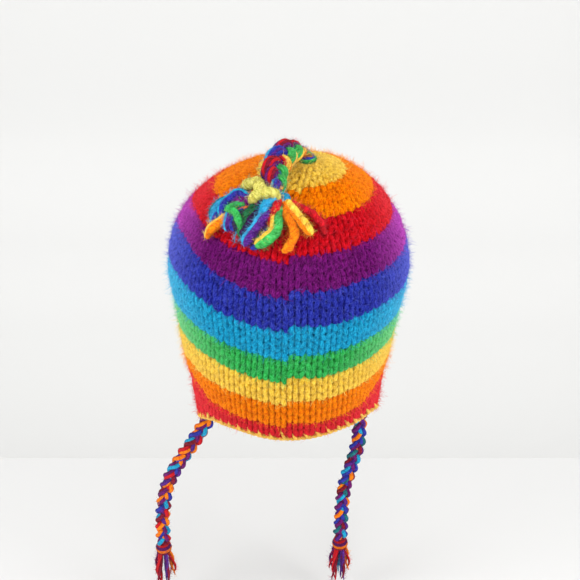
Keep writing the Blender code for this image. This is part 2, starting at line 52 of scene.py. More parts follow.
# The knitted wall, as in the part
HAT_HEIGHT = 211.0 * MM
HAT_WIDTH = 192.0 * MM
HAT_DEPTH = 203.0 * MM
WALL = 5.0 * MM
CROWN_DRIFT = 15.0 * MM
GAP = 0.3 * MM
EDGING_HEIGHT = 6.0 * MM
EDGING_PROUD = 0.8 * MM
FLAP_DROP = 27.0 * MM
FLAP_HALF_ANGLE = math.radians(52.0)
JOG_RISE = 0.5 * MM
JOG_FALL = 6.0 * MM
JOG_RISE_SPREAD = 0.5
JOG_FALL_SPREAD = 0.4
SIDE_STRETCH = 12.0 * MM
SIDE_AZIMUTH = math.radians(-72.0)
SIDE_SPREAD = math.radians(32.0)
SIDE_STRETCH_REACH = 0.54
SIDE_STRETCH_SPREAD = 0.14
LOW_STRETCH_SHARE = 0.3
LOW_STRETCH_REACH = 0.14
LOW_STRETCH_SPREAD = 0.12
ROW_LIFTS = (
    # azimuth, height, half width of places where the rows lie higher or lower
    (math.radians(-65.0), 7.0 * MM, math.radians(42.0)),
    (math.radians(18.0), -2.5 * MM, math.radians(15.0)),
)
LIFT_TOP = 0.80
LIFT_FADE = 0.38
FLAP_RISE = 15.0 * MM
FLAP_RISE_REACH = 0.081
FLAP_RISE_SPREAD = 0.075
FLAP_RISE_MIDDLE = math.radians(95.0)
FLAP_RISE_HALF_ANGLE = math.radians(38.0)
FLAP_RISE_EDGE = math.radians(20.0)
PROFILE_STEPS = 10
NORMAL_STEP = 0.4 * MM
TURN_STEP = 0.01

# Ties and topknot, as in the part
TIE_DIAMETER = 13.5 * MM
TIE_LENGTH = 155.0 * MM
TIE_KNOT_WIDTH = 15.0 * MM
TIE_KNOT_HEIGHT = 13.0 * MM
TIE_LOCK_LENGTH = 42.0 * MM
TIE_LOCK_DIAMETER = 4.6 * MM
ROOT_KNOT_HEIGHT = 5.0 * MM
BRAID_WIDTH = 23.0 * MM
BRAID_THICKNESS = 17.0 * MM
BRAID_PHASE = math.radians(124.0)
BRAID_STRAND_SHARE = 0.23
BRAID_NECK = 24.0 * MM
BRAID_NECK_SHARE = 0.34
BRAID_TAIL = 14.0 * MM
BRAID_TAIL_SHARE = 0.72
BRAID_FACE = (0.5, 0.0, 0.87)
BRAID_ROOT_FACE = (0.6, 0.5, 0.6)
TASSEL_HEAD_WIDTH = 16.0 * MM
TASSEL_HEAD_HEIGHT = 10.0 * MM
HEAD_REACH = 58.0 * MM
HEAD_AZIMUTH = math.radians(-13.0)
LOCK_DIAMETER = 7.0 * MM

# Topknot, apart from the part: closer turns of the braid, and its end nearer the photo's place
BRAID_CYCLE = 30.0 * MM
BRAID_TAIL_SIDEWAYS = 3.0 * MM

# Stitches
SECTORS = 8
MOST_WALES = 64
WALE_WIDTH = 8.7 * MM
YARN_RADIUS = 2.25 * MM
YARN_SIDES = 7
YARN_TWIST = 220.0
STITCH_LEAN_LOW = 0.135
STITCH_LEAN_HIGH = 0.185
STITCH_OVERLAP = 1.9 * MM
STITCH_RELIEF = 1.45 * MM
HEAD_SINK = 0.38
HEAD_THINNING = 0.22
FIRST_FOOT_RELIEF = 0.8 * MM
RIM_LIFTS = (
    # azimuth, height, half width of places where the rim is drawn up a little
    (math.radians(-31.0), 3.6 * MM, math.radians(17.0)),
    (math.radians(33.0), 1.8 * MM, math.radians(15.0)),
)
YARN_DEPTH = WALL / 2
SAMPLES_A_STITCH = 12
LEAN_NOISE = 0.035
PLACE_NOISE = 0.025
RISE_NOISE = 0.4 * MM
RELIEF_NOISE = 0.25 * MM
GIRTH_NOISE = 0.05
DECREASES_START = 0.66
LOW_BACK_STRETCH = 0.20
LOW_BACK_STRETCH_TOP = 0.45
MAT_DEPTHS = (1.7 * MM, 3.3 * MM)
MAT_COLUMNS = 96
MAT_ROWS = 5
MAT_GAP = 0.5 * MM
STRAND_UNIT = 4.0 * MM
END_BULGE = 0.6

# Rows of the ear flaps: how many, the room below them in rows, where on the flap's outline a row
# ends, how far round the tip that end is looked for, and how high over the rim the loops stay
FLAP_ROWS = 3
FLAP_ROW_SPARE = 0.4
FLAP_ROW_SHARE = 0.25
FLAP_TURN_REACH = 1.3
FLAP_FOOT = 4.6 * MM

# Edging: a core of two twisted strands, and wraps over it
CORE_POINTS = 480
CORE_RADIUS = 1.75 * MM
CORE_RISE = 2.6 * MM
CORE_WAVE = 0.4 * MM
CORE_DEPTH = YARN_DEPTH - 0.3 * MM
CORE_TURN = 1.3 * MM
WRAP_SAMPLES = 14
WRAP_RADIUS = 1.35 * MM
WRAP_THINNING = 0.35
WRAP_RISE = 5.4 * MM
WRAP_REACH = 3.2 * MM
WRAP_JITTER = 0.9 * MM
WRAP_DEPTH = YARN_DEPTH - 0.7 * MM
WRAP_TURN = 2.6 * MM
WRAP_FIBRE_LENGTH = 4.0 * MM
EDGING_TWIST = 300.0

# Yarns of the ties and the topknot
TIE_STRAND_RADIUS = 3.7 * MM
TIE_YARN_RADIUS = 1.9 * MM
TIE_STRAND_ASIDE = TIE_DIAMETER / 2 - TIE_STRAND_RADIUS + 0.6 * MM
TIE_STRAND_RISE = 2.2 * MM
TIE_BRAID_CYCLE = 29.0 * MM
TIE_YARN_LAY = 42.0 * MM
TIE_FACE = (0.15, -1.0, 0.0)
TIE_TWIST = 900.0
TIE_FIBRES = 90
TIE_FIBRE_LENGTH = 3.5 * MM
KNOT_YARN_RADIUS = 2.1 * MM
KNOT_TURNS = 4.0
KNOT_TWIST = 500.0
TIE_LOCK_YARN_RADIUS = 1.25 * MM
TIE_LOCK_YARN_ASIDE = 1.15 * MM
STRIP_TWIST = 700.0
LOCK_TWIST = 420.0
LOCK_POINTS = 52
LOCK_FILL = 0.92
# the strip of another colour on a lock's side: aside, over and radius in radii of the lock
LOCK_EDGE = (0.62, 0.34, 0.5)
LOCK_GIRTH = ((0.0, 0.10, 0.30, 0.88, 0.95, 1.0), (0.62, 0.8, 1.0, 0.92, 0.74, 0.42))

# Loose fibres: long bent ones and a short pile
FIBRES_A_STITCH = 12
PILE_A_STITCH = 50
FIBRE_RADIUS = 0.105 * MM
FIBRE_LENGTH = 9.0 * MM
PILE_LENGTH = 5.0 * MM
PILE_LAY = 1.6
FELT_FIBRE_LENGTH = 5.0 * MM
FELT_LEAST_OUTWARD = -0.8
FIBRE_LEAST_SHARE = 0.35
FIBRE_ROOT = 0.3 * MM

# Sheen of the halo of loose fibres, which grows with the turn of the hat's outline
HALO_CENTRE = (0.0, 0.0, -0.09)
HALO_SHAPE = (1.0, 1.0, 0.45)
HALO_TURN = (0.32, 0.90)
HALO_SHEEN = 1.0
YARN_SHEEN = 0.04
FIBRE_SHEEN = 0.05
SHEEN_ROUGHNESS = 0.85

# The photograph's camera
IMAGE_SIZE = 580
FOCAL_PIXELS = 1122.0
SENSOR_MM = 36.0
CAMERA_PITCH = math.radians(28.16)
CAMERA_DISTANCE = 0.92
CAMERA_AIM = Vector((0.0012, 0.0, -0.1077))
FLOOR_HEIGHT = -0.447
TABLE_EDGE = 0.227

# Studio light
WALL_COLOUR = (0.785, 0.785, 0.775)
TABLE_COLOUR = (0.66, 0.66, 0.655)
STAGE_HALF_WIDTH = 4.0
# outlines of the stage's sheets, y and z over the floor
TABLE_OUTLINE = ((-3.0, 0.0), (TABLE_EDGE, 0.0), (TABLE_EDGE + 0.004, -0.02))
WALL_OUTLINE = (
    (-3.0, -0.3), (0.75, -0.3), (1.00, -0.28), (1.2, -0.20), (1.32, 0.0), (1.38, 0.6), (1.4, 4.0),
)
WORLD_STRENGTH = 0.95
LIGHTS = (
    # name, place, size, power
    ("front", (0.0, -1.4, 0.35), 1.0, 6.2),
    ("left", (-1.1, -0.5, 0.25), 0.8, 7.4),
    ("right", (1.1, -0.5, 0.25), 0.8, 7.6),
    ("top", (0.2, 0.0, 1.3), 1.2, 4.0),
)


def photo_colour(red, green, blue):
    """Linear colour of an 8-bit screen colour."""
    shares = (red / 255.0, green / 255.0, blue / 255.0)
    return tuple(c / 12.92 if c <= 0.04045 else ((c + 0.055) / 1.055) ** 2.4 for c in shares)


# Yarn colours, as they look under the studio light
RED = photo_colour(212, 14, 30)
ORANGE = photo_colour(255, 138, 0)
YELLOW = photo_colour(255, 214, 76)
GREEN = photo_colour(50, 188, 88)
TURQUOISE = photo_colour(24, 170, 214)
BLUE = photo_colour(44, 56, 172)
PURPLE = photo_colour(112, 16, 110)
EDGE_YELLOW = photo_colour(255, 212, 92)
MAROON = photo_colour(140, 12, 44)
TEAL = photo_colour(30, 120, 130)
LEAF = photo_colour(70, 190, 92)
OLIVE = photo_colour(218, 212, 104)
VIOLET = photo_colour(92, 34, 142)
# very dark violet of the low locks in the tassel: the wool's own dark colour and painted shade of
# the hollow among the locks
NIGHT_AND_PAINTED_SHADE = photo_colour(52, 18, 76)
SKY = photo_colour(52, 176, 226)
DARK_GREEN = photo_colour(26, 110, 62)
# sheen of the pieces of many colours
MIXED_SHEEN = (1.0, 0.82, 0.88)
MIXED_HALO_SHEEN = 0.1
# tufts of deeper wool, some millimetres wide
CLUMP_SHADE = (0.80, 0.74, 0.76)
CLUMP_SCALE = 210.0
CLUMP_SPAN = (0.56, 0.38)
GRAIN_SCALE = 520.0
# how much paler than the yarn the sheen of each colour's fibres is
PALE_SHARES = {RED: 0.08, ORANGE: 0.04, GREEN: 0.45, TURQUOISE: 0.20, BLUE: 0.20, PURPLE: 0.15}

PROFILE = (
    # height, width, depth, drift
    (-0.190, 0.650, 0.562, -0.10),
    (-0.123, 0.745, 0.635, -0.10),
    (-0.057, 0.797, 0.700, -0.10),
    (0.000, 0.815, 0.734, -0.10),
    (0.057, 0.826, 0.764, -0.10),
    (0.118, 0.842, 0.803, -0.10),
    (0.213, 0.880, 0.872, -0.10),
    (0.308, 0.915, 0.911, -0.10),
    (0.403, 0.937, 0.934, -0.05),
    (0.498, 0.973, 0.972, 0.00),
    (0.578, 1.000, 1.000, 0.00),
    (0.654, 0.990, 0.987, 0.00),
    (0.725, 0.952, 0.948, 0.00),
    (0.796, 0.873, 0.869, 0.03),
    (0.863, 0.755, 0.752, 0.13),
    (0.915, 0.615, 0.611, 0.30),
    (0.957, 0.448, 0.448, 0.57),
    (0.983, 0.281, 0.281, 0.80),
    (0.996, 0.135, 0.133, 0.95),
    (1.000, 0.000, 0.000, 1.00),
)

STRIPES = (
    # name, top, rows, colour, slot
    ("stripe_red_low", 0.081, 2, RED, "yarn_red"),
    ("stripe_orange_low", 0.183, 3, ORANGE, "yarn_orange"),
    ("stripe_yellow_low", 0.271, 3, YELLOW, "yarn_yellow"),
    ("stripe_green", 0.355, 3, GREEN, "yarn_green"),
    ("stripe_turquoise", 0.456, 4, TURQUOISE, "yarn_turquoise"),
    ("stripe_blue", 0.557, 4, BLUE, "yarn_blue"),
    ("stripe_purple", 0.652, 4, PURPLE, "yarn_purple"),
    ("stripe_red_high", 0.751, 4, RED, "yarn_red"),
    ("stripe_orange_high", 0.868, 5, ORANGE, "yarn_orange"),
    ("crown_yellow", 0.985, 5, YELLOW, "yarn_yellow"),
)

FLAPS = (
    # side, azimuth of the tip
    ("left", math.radians(-100.0)),
    ("right", math.radians(112.0)),
)

TIE_ROUTES = {
    "left": (
        (0, 0, 0), (0, 0, -6), (-5, -1, -17), (-14, -3, -32), (-25, -5, -49),
        (-36, -7, -68), (-43, -8, -90), (-46, -9, -113), (-47, -9, -138), (-47, -9, -160),
    ),
    "right": (
        (0, 0, 0), (0, 0, -6), (0.5, 0, -17), (1, 0, -30), (0.5, 0, -43),
        (-2, -1, -57), (-6, -2, -72), (-10.5, -3, -91), (-13, -4, -113), (-14, -4, -160),
    ),
}

TIE_LOCKS = (
    # azimuth in degrees, spread, length, colours
    (0, 0.30, 1.00, (RED, MAROON)),
    (70, 0.42, 0.86, (PURPLE, RED)),
    (140, 0.34, 0.95, (TURQUOISE, BLUE)),
    (215, 0.46, 0.80, (ORANGE, RED)),
    (290, 0.38, 0.92, (VIOLET, MAROON)),
)

# Yarns of the small knot under the braid
ROOT_RINGS = (
    # radius, lift, tilt, yarn radius, colour
    (4.9, 1.9, 0.10, 2.1, LEAF),
    (4.4, 3.3, -0.12, 1.9, BLUE),
    (2.6, 4.1, 0.05, 1.6, ORANGE),
)

BRAID_ROUTE = (
    (0, 0, 0), (-1.5, -0.5, 2), (-6, -4, 5), (-10.5, -9, 7.5), (-15, -15.5, 8.5),
    (-19.5, -23, 7), (-22, -31, 3.5), (-22.5, -39, -0.5), (-21.5, -46, -4.5), (-20, -51.5, -8.5),
)

# Locks of the topknot's tassel, as in the part but for the two of olive, which are thicker and lie
# a little nearer to the right, and the last four, dark ones low between the part's locks, whose
# dark colours are partly the wool's own and partly painted shade of the hollow among the locks
TASSEL_LOCKS = (
    # diameter share, places, colour, edge colour
    (1.62, ((57, -24, 1.2), (51, -33, 1.25), (53, -40, 1.1), (56, -46, 0.8)), OLIVE, OLIVE),
    (1.42, ((57, -19, 1.5), (60, -26, 1.5), (65, -30, 1.2)), OLIVE, OLIVE),
    (1.15, ((61, -30, 0.9), (60, -42, 1.2), (66, -47, 1.1), (73, -47, 1.0), (78, -44, 0.8)),
     BLUE, TURQUOISE),
    (0.95, ((60, -40, 0.8), (67, -52, 0.8), (75, -54, 0.8), (82, -52, 0.7)), SKY, TEAL),
    (1.50, ((62, -29, 0.7), (63, -37, 0.7), (69, -41, 0.7)), PURPLE, VIOLET),
    (1.25, ((62, -28, 0.6), (74, -38, 0.6), (87, -44, 0.7), (95, -45, 0.6)), ORANGE, EDGE_YELLOW),
    (1.20, ((60, -26, 0.7), (70, -38, 0.8), (79, -38, 0.8), (85, -35, 0.7)), VIOLET, SKY),
    (0.85, ((62, -30, 1.2), (73, -41, 1.6), (74, -34, 1.8), (83, -27, 1.4)), GREEN, LEAF),
    (0.85, ((62, -26, 1.2), (70, -29, 1.3), (77, -28, 1.2)), DARK_GREEN, DARK_GREEN),
    (1.10, ((56, -13, 1.3), (60, -17, 1.5), (66, -18, 1.4), (75, -17, 0.9)), SKY, TURQUOISE),
    (1.40, ((64, -15, 0.7), (76, -18, 0.8), (86, -21, 0.7), (92, -23, 0.6)), VIOLET, SKY),
    (0.75, ((66, -22, 0.8), (78, -28, 0.9), (91, -29, 0.7)), RED, SKY),
    (1.40, ((62, -11, 0.7), (72, -9, 0.8), (82, -9, 0.7), (91, -17, 0.6)), LEAF, YELLOW),
    (1.15, ((58, -11, 1.1), (65, -12, 1.2), (71, -12, 1.0), (77, -12, 0.8)), RED, RED),
    (1.15, ((60, -8, 0.9), (70, -3, 0.8), (81, 2, 0.7), (89, 0, 0.6), (94, -3, 0.6)),
     ORANGE, ORANGE),
    (1.30, ((59, -6, 0.9), (67, 1, 0.8), (75, 7, 0.8), (82, 11, 0.6)), YELLOW, ORANGE),
    (0.95, ((57, -7, 1.0), (60, 2, 0.9), (67, 12, 0.8), (74, 17, 0.7), (82, 19, 0.6)), RED, RED),
    (1.50, ((60, -24, 0.5), (68, -31, 0.5), (77, -33, 0.5), (84, -31, 0.5)), NIGHT_AND_PAINTED_SHADE, BLUE),
    (1.45, ((60, -19, 0.5), (70, -24, 0.5), (80, -26, 0.5), (87, -26, 0.5)), NIGHT_AND_PAINTED_SHADE, DARK_GREEN),
    (1.05, ((64, -14, 0.5), (76, -15, 0.5), (86, -16, 0.5), (93, -19, 0.5)), BLUE, NIGHT_AND_PAINTED_SHADE),
    (1.00, ((60, -34, 0.6), (72, -47, 0.6), (80, -49, 0.6), (87, -46, 0.6)), BLUE, SKY),
)

# Felted strips that each strand of the braid is made of
STRIPS = (
    # aside, over and radius in millimetres
    (-3.5, 0.5, 1.5), (-1.9, 2.4, 1.5), (0.2, 3.1, 1.5), (2.2, 2.2, 1.5), (3.6, 0.3, 1.5),
    (2.0, -2.2, 2.1), (-2.0, -2.2, 2.1), (0.0, 0.2, 2.7),
)

# Colours of the strips, strand by strand, where they cross to the left and to the right
STRIP_COLOURS = (
    # to the left, to the right
    ((PURPLE, RED, MAROON, PURPLE, VIOLET, BLUE, PURPLE, PURPLE),
     (PURPLE, RED, EDGE_YELLOW, YELLOW, ORANGE, RED, PURPLE, RED)),
    ((RED, MAROON, RED, PURPLE, BLUE, RED, BLUE, PURPLE),
     (BLUE, LEAF, LEAF, LEAF, EDGE_YELLOW, ORANGE, BLUE, GREEN)),
    ((SKY, BLUE, VIOLET, BLUE, PURPLE, RED, VIOLET, BLUE),
     (TEAL, LEAF, LEAF, LEAF, YELLOW, ORANGE, VIOLET, GREEN)),
)

# Yarns of the three strands of each tie
TIE_YARNS = {
    "left": ((ORANGE, RED, PURPLE), (PURPLE, MAROON, TURQUOISE), (ORANGE, VIOLET, BLUE)),
    "right": ((PURPLE, BLUE, TURQUOISE), (MAROON, ORANGE, VIOLET), (TEAL, BLUE, PURPLE)),
}


def mix(low, high, share):
    return low + (high - low) * share


def catmull_rom(points, steps):
    """Smooth curve through points, given as rows, with a number of steps between each pair."""
    points = np.asarray(points, float)
    padded = np.vstack((points[:1], points, points[-1:]))
    t = (np.arange(steps) / steps)[:, None]
    spans = [
        0.5 * (2 * start + (end - before) * t + (2 * before - 5 * start + 4 * end - after) * t ** 2
               + (3 * start - before - 3 * end + after) * t ** 3)
        for before, start, end, after in zip(padded, padded[1:], padded[2:], padded[3:])
    ]
    return np.vstack(spans + [points[-1:]])


def unit(vectors):
    length = np.linalg.norm(vectors, axis=-1, keepdims=True)
    return vectors / np.maximum(length, 1e-12)


def wall_stations():
    """Profile rows as (run, height, half width, half depth, drift). The run is zero at the
    rim."""
    rim_height = WALL - HAT_HEIGHT
    table = np.array(PROFILE)
    sizes = np.column_stack((
        rim_height + table[:, 0] * HAT_HEIGHT, table[:, 1] * HAT_WIDTH / 2,
        table[:, 2] * HAT_DEPTH / 2, table[:, 3] * CROWN_DRIFT,
    ))
    curve = catmull_rom(sizes, PROFILE_STEPS)
    steps = np.diff(curve, axis=0)
    lengths = np.hypot(steps[:, 0], (steps[:, 1] + steps[:, 2]) / 2)
    runs = np.concatenate(([0.0], np.cumsum(lengths)))
    at_rim = runs[np.argmax(curve[:, 0] >= rim_height - 1e-9)]
    return np.column_stack((runs - at_rim, curve))


STATIONS = wall_stations()
FULL_RUN = STATIONS[-1, 0]
RIM_FADE = 0.055 * FULL_RUN
CROWN_FADE = 0.12 * FULL_RUN


def wall_section(run):
    """Height, half width, half depth and drift of the outer wall at a run."""
    return [np.interp(run, STATIONS[:, 0], STATIONS[:, column]) for column in range(1, 5)]


def outer_point(run, azimuth):
    height, half_width, half_depth, drift = wall_section(run)
    return np.stack((
        half_width * np.sin(azimuth) + drift,
        -half_depth * np.cos(azimuth),
        height + 0.0 * azimuth,
    ), axis=-1)


def wall_normal(run, azimuth):
    """Outward direction of the wall."""
    upward = outer_point(run + NORMAL_STEP, azimuth) - outer_point(run - NORMAL_STEP, azimuth)
    around = outer_point(run, azimuth + TURN_STEP) - outer_point(run, azimuth - TURN_STEP)
    normal = unit(np.cross(around, upward))
    at_tip = np.broadcast_to(np.asarray(run) > FULL_RUN - NORMAL_STEP, normal.shape[:-1])
    normal[at_tip] = (0.0, 0.0, 1.0)
    return normal


def wall_point(run, azimuth, depth=0.0):
    """Points a given depth inside the outer wall."""
    run, azimuth, depth = np.broadcast_arrays(run, azimuth, depth)
    return outer_point(run, azimuth) - wall_normal(run, azimuth) * depth[..., None]


def bump(value, middle, half_width):
    return np.exp(-((value - middle) / half_width) ** 2)


def smooth_step(value):
    share = np.clip(value, 0.0, 1.0)
    return share * share * (3.0 - 2.0 * share)


def turn_from(start, azimuth):
    """Signed turn from one azimuth to another, the shorter way round."""
    return (azimuth - start + math.pi) % CIRCLE - math.pi


def lift_at(turn, lifts):
    return sum(height * bump(turn, middle, spread) for middle, height, spread in lifts)


def row_shift(run, azimuth):
    """How far a row of knitting lies above its usual run. Rows step at the centre back, where a
    round starts, spread apart on the left, towards which the crown pulls them, and climb over
    the ear flaps, where the lowest red yarn has more rows."""
    turn = turn_from(0.0, azimuth)
    rise = JOG_RISE * np.exp(-np.abs(turn) / JOG_RISE_SPREAD)
    fall = -JOG_FALL * np.exp(-np.abs(turn) / JOG_FALL_SPREAD)
    reach = run / FULL_RUN
    stretch = SIDE_STRETCH * (
        bump(reach, SIDE_STRETCH_REACH, SIDE_STRETCH_SPREAD)
        - LOW_STRETCH_SHARE * bump(reach, LOW_STRETCH_REACH, LOW_STRETCH_SPREAD))
    off_flap = np.abs(np.abs(turn) - FLAP_RISE_MIDDLE)
    over_flap = smooth_step((FLAP_RISE_HALF_ANGLE - off_flap) / FLAP_RISE_EDGE + 0.5)
    climb = FLAP_RISE * bump(reach, FLAP_RISE_REACH, FLAP_RISE_SPREAD) * over_flap
    lift = lift_at(turn, ROW_LIFTS) * smooth_step((LIFT_TOP - reach) / LIFT_FADE)
    shift = np.where(turn >= 0.0, rise, fall) + climb + lift
    shift = shift + stretch * bump(turn, SIDE_AZIMUTH, SIDE_SPREAD)
    rim_fade = np.clip((run - EDGING_HEIGHT) / RIM_FADE, 0.0, 1.0)
    crown_fade = np.clip((FULL_RUN - run) / CROWN_FADE, 0.0, 1.0)
    return shift * rim_fade * crown_fade


def flap_drop(azimuth):
    """How far the flaps carry the fabric below the rim at an azimuth."""
    drop = np.zeros_like(azimuth)
    for _side, tip in FLAPS:
        turn = turn_from(tip, azimuth)
        inside = np.clip(np.cos(turn / FLAP_HALF_ANGLE * math.pi / 2), 0.0, 1.0)
        drop = np.where(np.abs(turn) < FLAP_HALF_ANGLE, FLAP_DROP * inside ** 1.5, drop)
    return drop


def edging_top(azimuth):
    return EDGING_HEIGHT - GAP / 2 - flap_drop(azimuth)


def rim_lift(run, azimuth):
    """How far the rim and the rows next to it are drawn up."""
    lift = lift_at(turn_from(0.0, azimuth), RIM_LIFTS)
    return lift * np.clip(1.0 - (run - EDGING_HEIGHT) / RIM_FADE, 0.0, 1.0)


def rim_line(azimuth):
    """Run of the edging's bottom, round rim and flaps."""
    return edging_top(azimuth) - EDGING_HEIGHT + rim_lift(0.0, azimuth)


def perimeter(run):
    half_width, half_depth = wall_section(run)[1:3]
    return math.pi * (half_width + half_depth)


def path_length(points):
    return float(np.linalg.norm(np.diff(points, axis=0), axis=1).sum())


def distances_along(points):
    """Distance of each point of a path from its first one."""
    return np.concatenate(([0.0], np.cumsum(np.linalg.norm(np.diff(points, axis=0), axis=1))))


def spread_evenly(points, count, length=None):
    """Read a path at equal distances, over its first stretch if a length is given."""
    runs = distances_along(points)
    places = np.linspace(0.0, min(length or runs[-1], runs[-1]), count)
    return np.column_stack([np.interp(places, runs, points[:, axis]) for axis in range(3)])


def smooth_noise(rng, count, spacing, size):
    """Random values of a given size that change slowly along a row of samples."""
    knots = rng.normal(0.0, size, count // spacing + 3)
    return np.interp(np.arange(count) / spacing, np.arange(len(knots)), knots)


def tangents(points):
    return unit(np.gradient(points, axis=0))


def carried_frames(points, first_side):
    """Side directions that turn as little as they can along a path."""
    along = tangents(points)
    side = np.array(first_side, float)
    sides = []
    for direction in along:
        side = side - direction * np.dot(side, direction)
        side = side / np.linalg.norm(side)
        sides.append(side)
    return along, np.array(sides)


def shell(points, faces, tint, strand, outward, grain, slot=0):
    """One sheet or closed shell: points, faces, colour, place along the yarn, how far out of the
    fabric each point lies (0 deep to 1 outside; the materials paint shade over the deep points),
    directions for loose fibres, and which of the piece's materials it has."""
    return {
        "points": points, "faces": faces, "tint": tint, "strand": strand,
        "outward": outward, "grain": grain, "slot": slot,
    }


def tube(points, radii, facing, tint, sides=8, squash=1.0, facing_depth=None, twist=0.0):
    """Closed round yarn along a path. Facing gives the outward side of the fabric at each
    point, facing_depth how far out the path lies there, from -1 to 1, and twist how far its
    fibres wind round it, in radians a metre."""
    points = np.asarray(points, float)
    count = len(points)
    along = tangents(points)
    facing = np.broadcast_to(facing, points.shape)
    side = unit(np.cross(along, facing))
    up = np.cross(side, along)
    angles = np.arange(sides) * CIRCLE / sides
    radii = np.broadcast_to(radii, count)
    spokes = (np.cos(angles)[None, :, None] * side[:, None, :]
              + squash * np.sin(angles)[None, :, None] * up[:, None, :])
    ring_points = points[:, None, :] + spokes * radii[:, None, None]
    ends = np.stack((points[0] - along[0] * radii[0] * END_BULGE,
                     points[-1] + along[-1] * radii[-1] * END_BULGE))
    all_points = np.vstack((ring_points.reshape(-1, 3), ends))
    ring = np.arange(count - 1)[:, None] * sides
    next_ring = ring + sides
    here = np.arange(sides)[None, :]
    after = (here + 1) % sides
    quads = np.stack((ring + here, next_ring + here, next_ring + after, ring + after), axis=-1)
    tip = count * sides
    first = np.stack((np.full(sides, tip), here[0], after[0]), axis=-1)
    last = np.stack((np.full(sides, tip + 1), tip - sides + after[0], tip - sides + here[0]),
                    axis=-1)
    lengths = distances_along(points)[:, None]
    turned = angles[None, :] + twist * lengths
    strand = np.stack((
        np.cos(turned), np.sin(turned), np.broadcast_to(lengths / STRAND_UNIT, turned.shape),
    ), axis=-1).reshape(-1, 3)
    strand = np.vstack((strand, strand[:1], strand[-1:]))
    lift = np.broadcast_to(np.sin(angles)[None, :], (count, sides))
    if facing_depth is not None:
        lift = 0.5 * lift + 0.5 * np.broadcast_to(facing_depth, count)[:, None]
    outward = np.concatenate((lift.reshape(-1), [0.0, 0.0]))
    tint = np.asarray(tint, float)
    if tint.ndim == 2:
        tint = np.repeat(tint, sides, axis=0)
        tint = np.vstack((tint, tint[:1], tint[-1:]))
    tint = np.broadcast_to(tint, (len(all_points), 3))
    grain = np.vstack((spokes.reshape(-1, 3), -along[:1], along[-1:]))
    return shell(all_points, [quads.reshape(-1, 4), first, last], tint, strand, outward, grain)


def fibres(rng, bases, directions, tint, outward, length, joints):
    """Flat narrow fibres that start on a surface, with a bend where they have two joints."""
    count = len(bases)
    bent = joints == 2
    reach = length * rng.uniform(FIBRE_LEAST_SHARE, 1.0, (count, 1))
    wander = unit(rng.normal(0.0, 1.0, (count, 3)))
    first = unit(directions + 0.4 * wander)
    second = unit(first + 0.9 * unit(rng.normal(0.0, 1.0, (count, 3))))
    low = bases - directions * FIBRE_ROOT
    middle = low + first * reach * 0.5
    tip = middle + (second if bent else first) * reach * 0.5
    side = unit(np.cross(first, wander + 0.01)) * FIBRE_RADIUS
    rows, widths = ((low, middle, tip), (1.0, 0.8, 0.4)) if bent else ((low, tip), (1.0, 0.5))
    corners = []
    for centre, width in zip(rows, widths):
        corners += [centre - side * width, centre + side * width]
    points = np.stack(corners, axis=1).reshape(-1, 3)
    each = len(corners)
    start = (np.arange(count) * each)[:, None]
    faces = [start + np.array((corner, corner + 1, corner + 3, corner + 2))
             for corner in range(0, 2 * joints, 2)]
    tint = np.repeat(np.broadcast_to(tint, (count, 3)), each, axis=0)
    strand = np.repeat(rng.uniform(0.0, 40.0, (count, 3)), each, axis=0)
    return shell(points, [np.vstack(faces)], tint, strand, np.repeat(outward, each),
                 np.zeros((0, 3)), 1)


def fibres_from(rng, source, count, least_outward=0.15, lean=0.6, length=FIBRE_LENGTH, joints=2,
                lay=0.0):
    """Loose fibres that grow out of a yarn's outer side. With lay above 0 they lie along it."""
    open_points = np.flatnonzero(source["outward"] > least_outward)
    chosen = rng.choice(open_points, count)
    bases = source["points"][chosen]
    onwards = np.minimum(chosen + YARN_SIDES, len(source["points"]) - 1)
    along = unit(source["points"][onwards] - bases + 1e-9)
    directions = source["grain"][chosen] + lean * rng.normal(0.0, 1.0, (count, 3))
    directions = unit(directions + lay * rng.normal(0.0, 1.0, (count, 1)) * along)
    return fibres(rng, bases, directions, source["tint"][chosen], source["outward"][chosen],
                  length, joints)


def pile_from(rng, source, count, least_outward=0.05):
    """Short felted pile on a yarn's outer side."""
    return fibres_from(rng, source, count, least_outward, 0.5, PILE_LENGTH, 1, PILE_LAY)


def fuzz_of(rng, yarns, long_ones, short_ones):
    """Long fibres and short pile for every yarn of a felted piece."""
    fuzz = [fibres_from(rng, yarn, long_ones, FELT_LEAST_OUTWARD, 0.8, FELT_FIBRE_LENGTH)
            for yarn in yarns]
    return fuzz + [pile_from(rng, yarn, short_ones, FELT_LEAST_OUTWARD) for yarn in yarns]


def add_object(name, data):
    thing = bpy.data.objects.new(name, data)
    bpy.context.scene.collection.objects.link(thing)
    return thing


def make_object(name, shells, materials):
    """One object from its shells, with the attributes that its materials read."""
    faces = []
    slots = []
    offset = 0
    for part in shells:
        for block in part["faces"]:
            faces += (block + offset).tolist()
            slots.append(np.full(len(block), part["slot"], dtype=np.int32))
        offset += len(part["points"])
    points, tint, strand, outward = (
        np.concatenate([part[key] for part in shells])
        for key in ("points", "tint", "strand", "outward"))
    mesh = bpy.data.meshes.new(name)
    mesh.from_pydata(points, [], faces)
    mesh.polygons.foreach_set("material_index", np.concatenate(slots))
    mesh.polygons.foreach_set("use_smooth", np.ones(len(faces), dtype=bool))
    for label, kind, field, values in (
        ("tint", "FLOAT_COLOR", "color", np.column_stack((tint, np.ones(len(tint))))),
        ("strand", "FLOAT_VECTOR", "vector", strand),
        ("outward", "FLOAT", "value", outward),
    ):
        mesh.attributes.new(label, kind, "POINT").data.foreach_set(field, values.ravel())
    mesh.update()
    for material in materials:
        mesh.materials.append(material)
    return add_object(name, mesh)


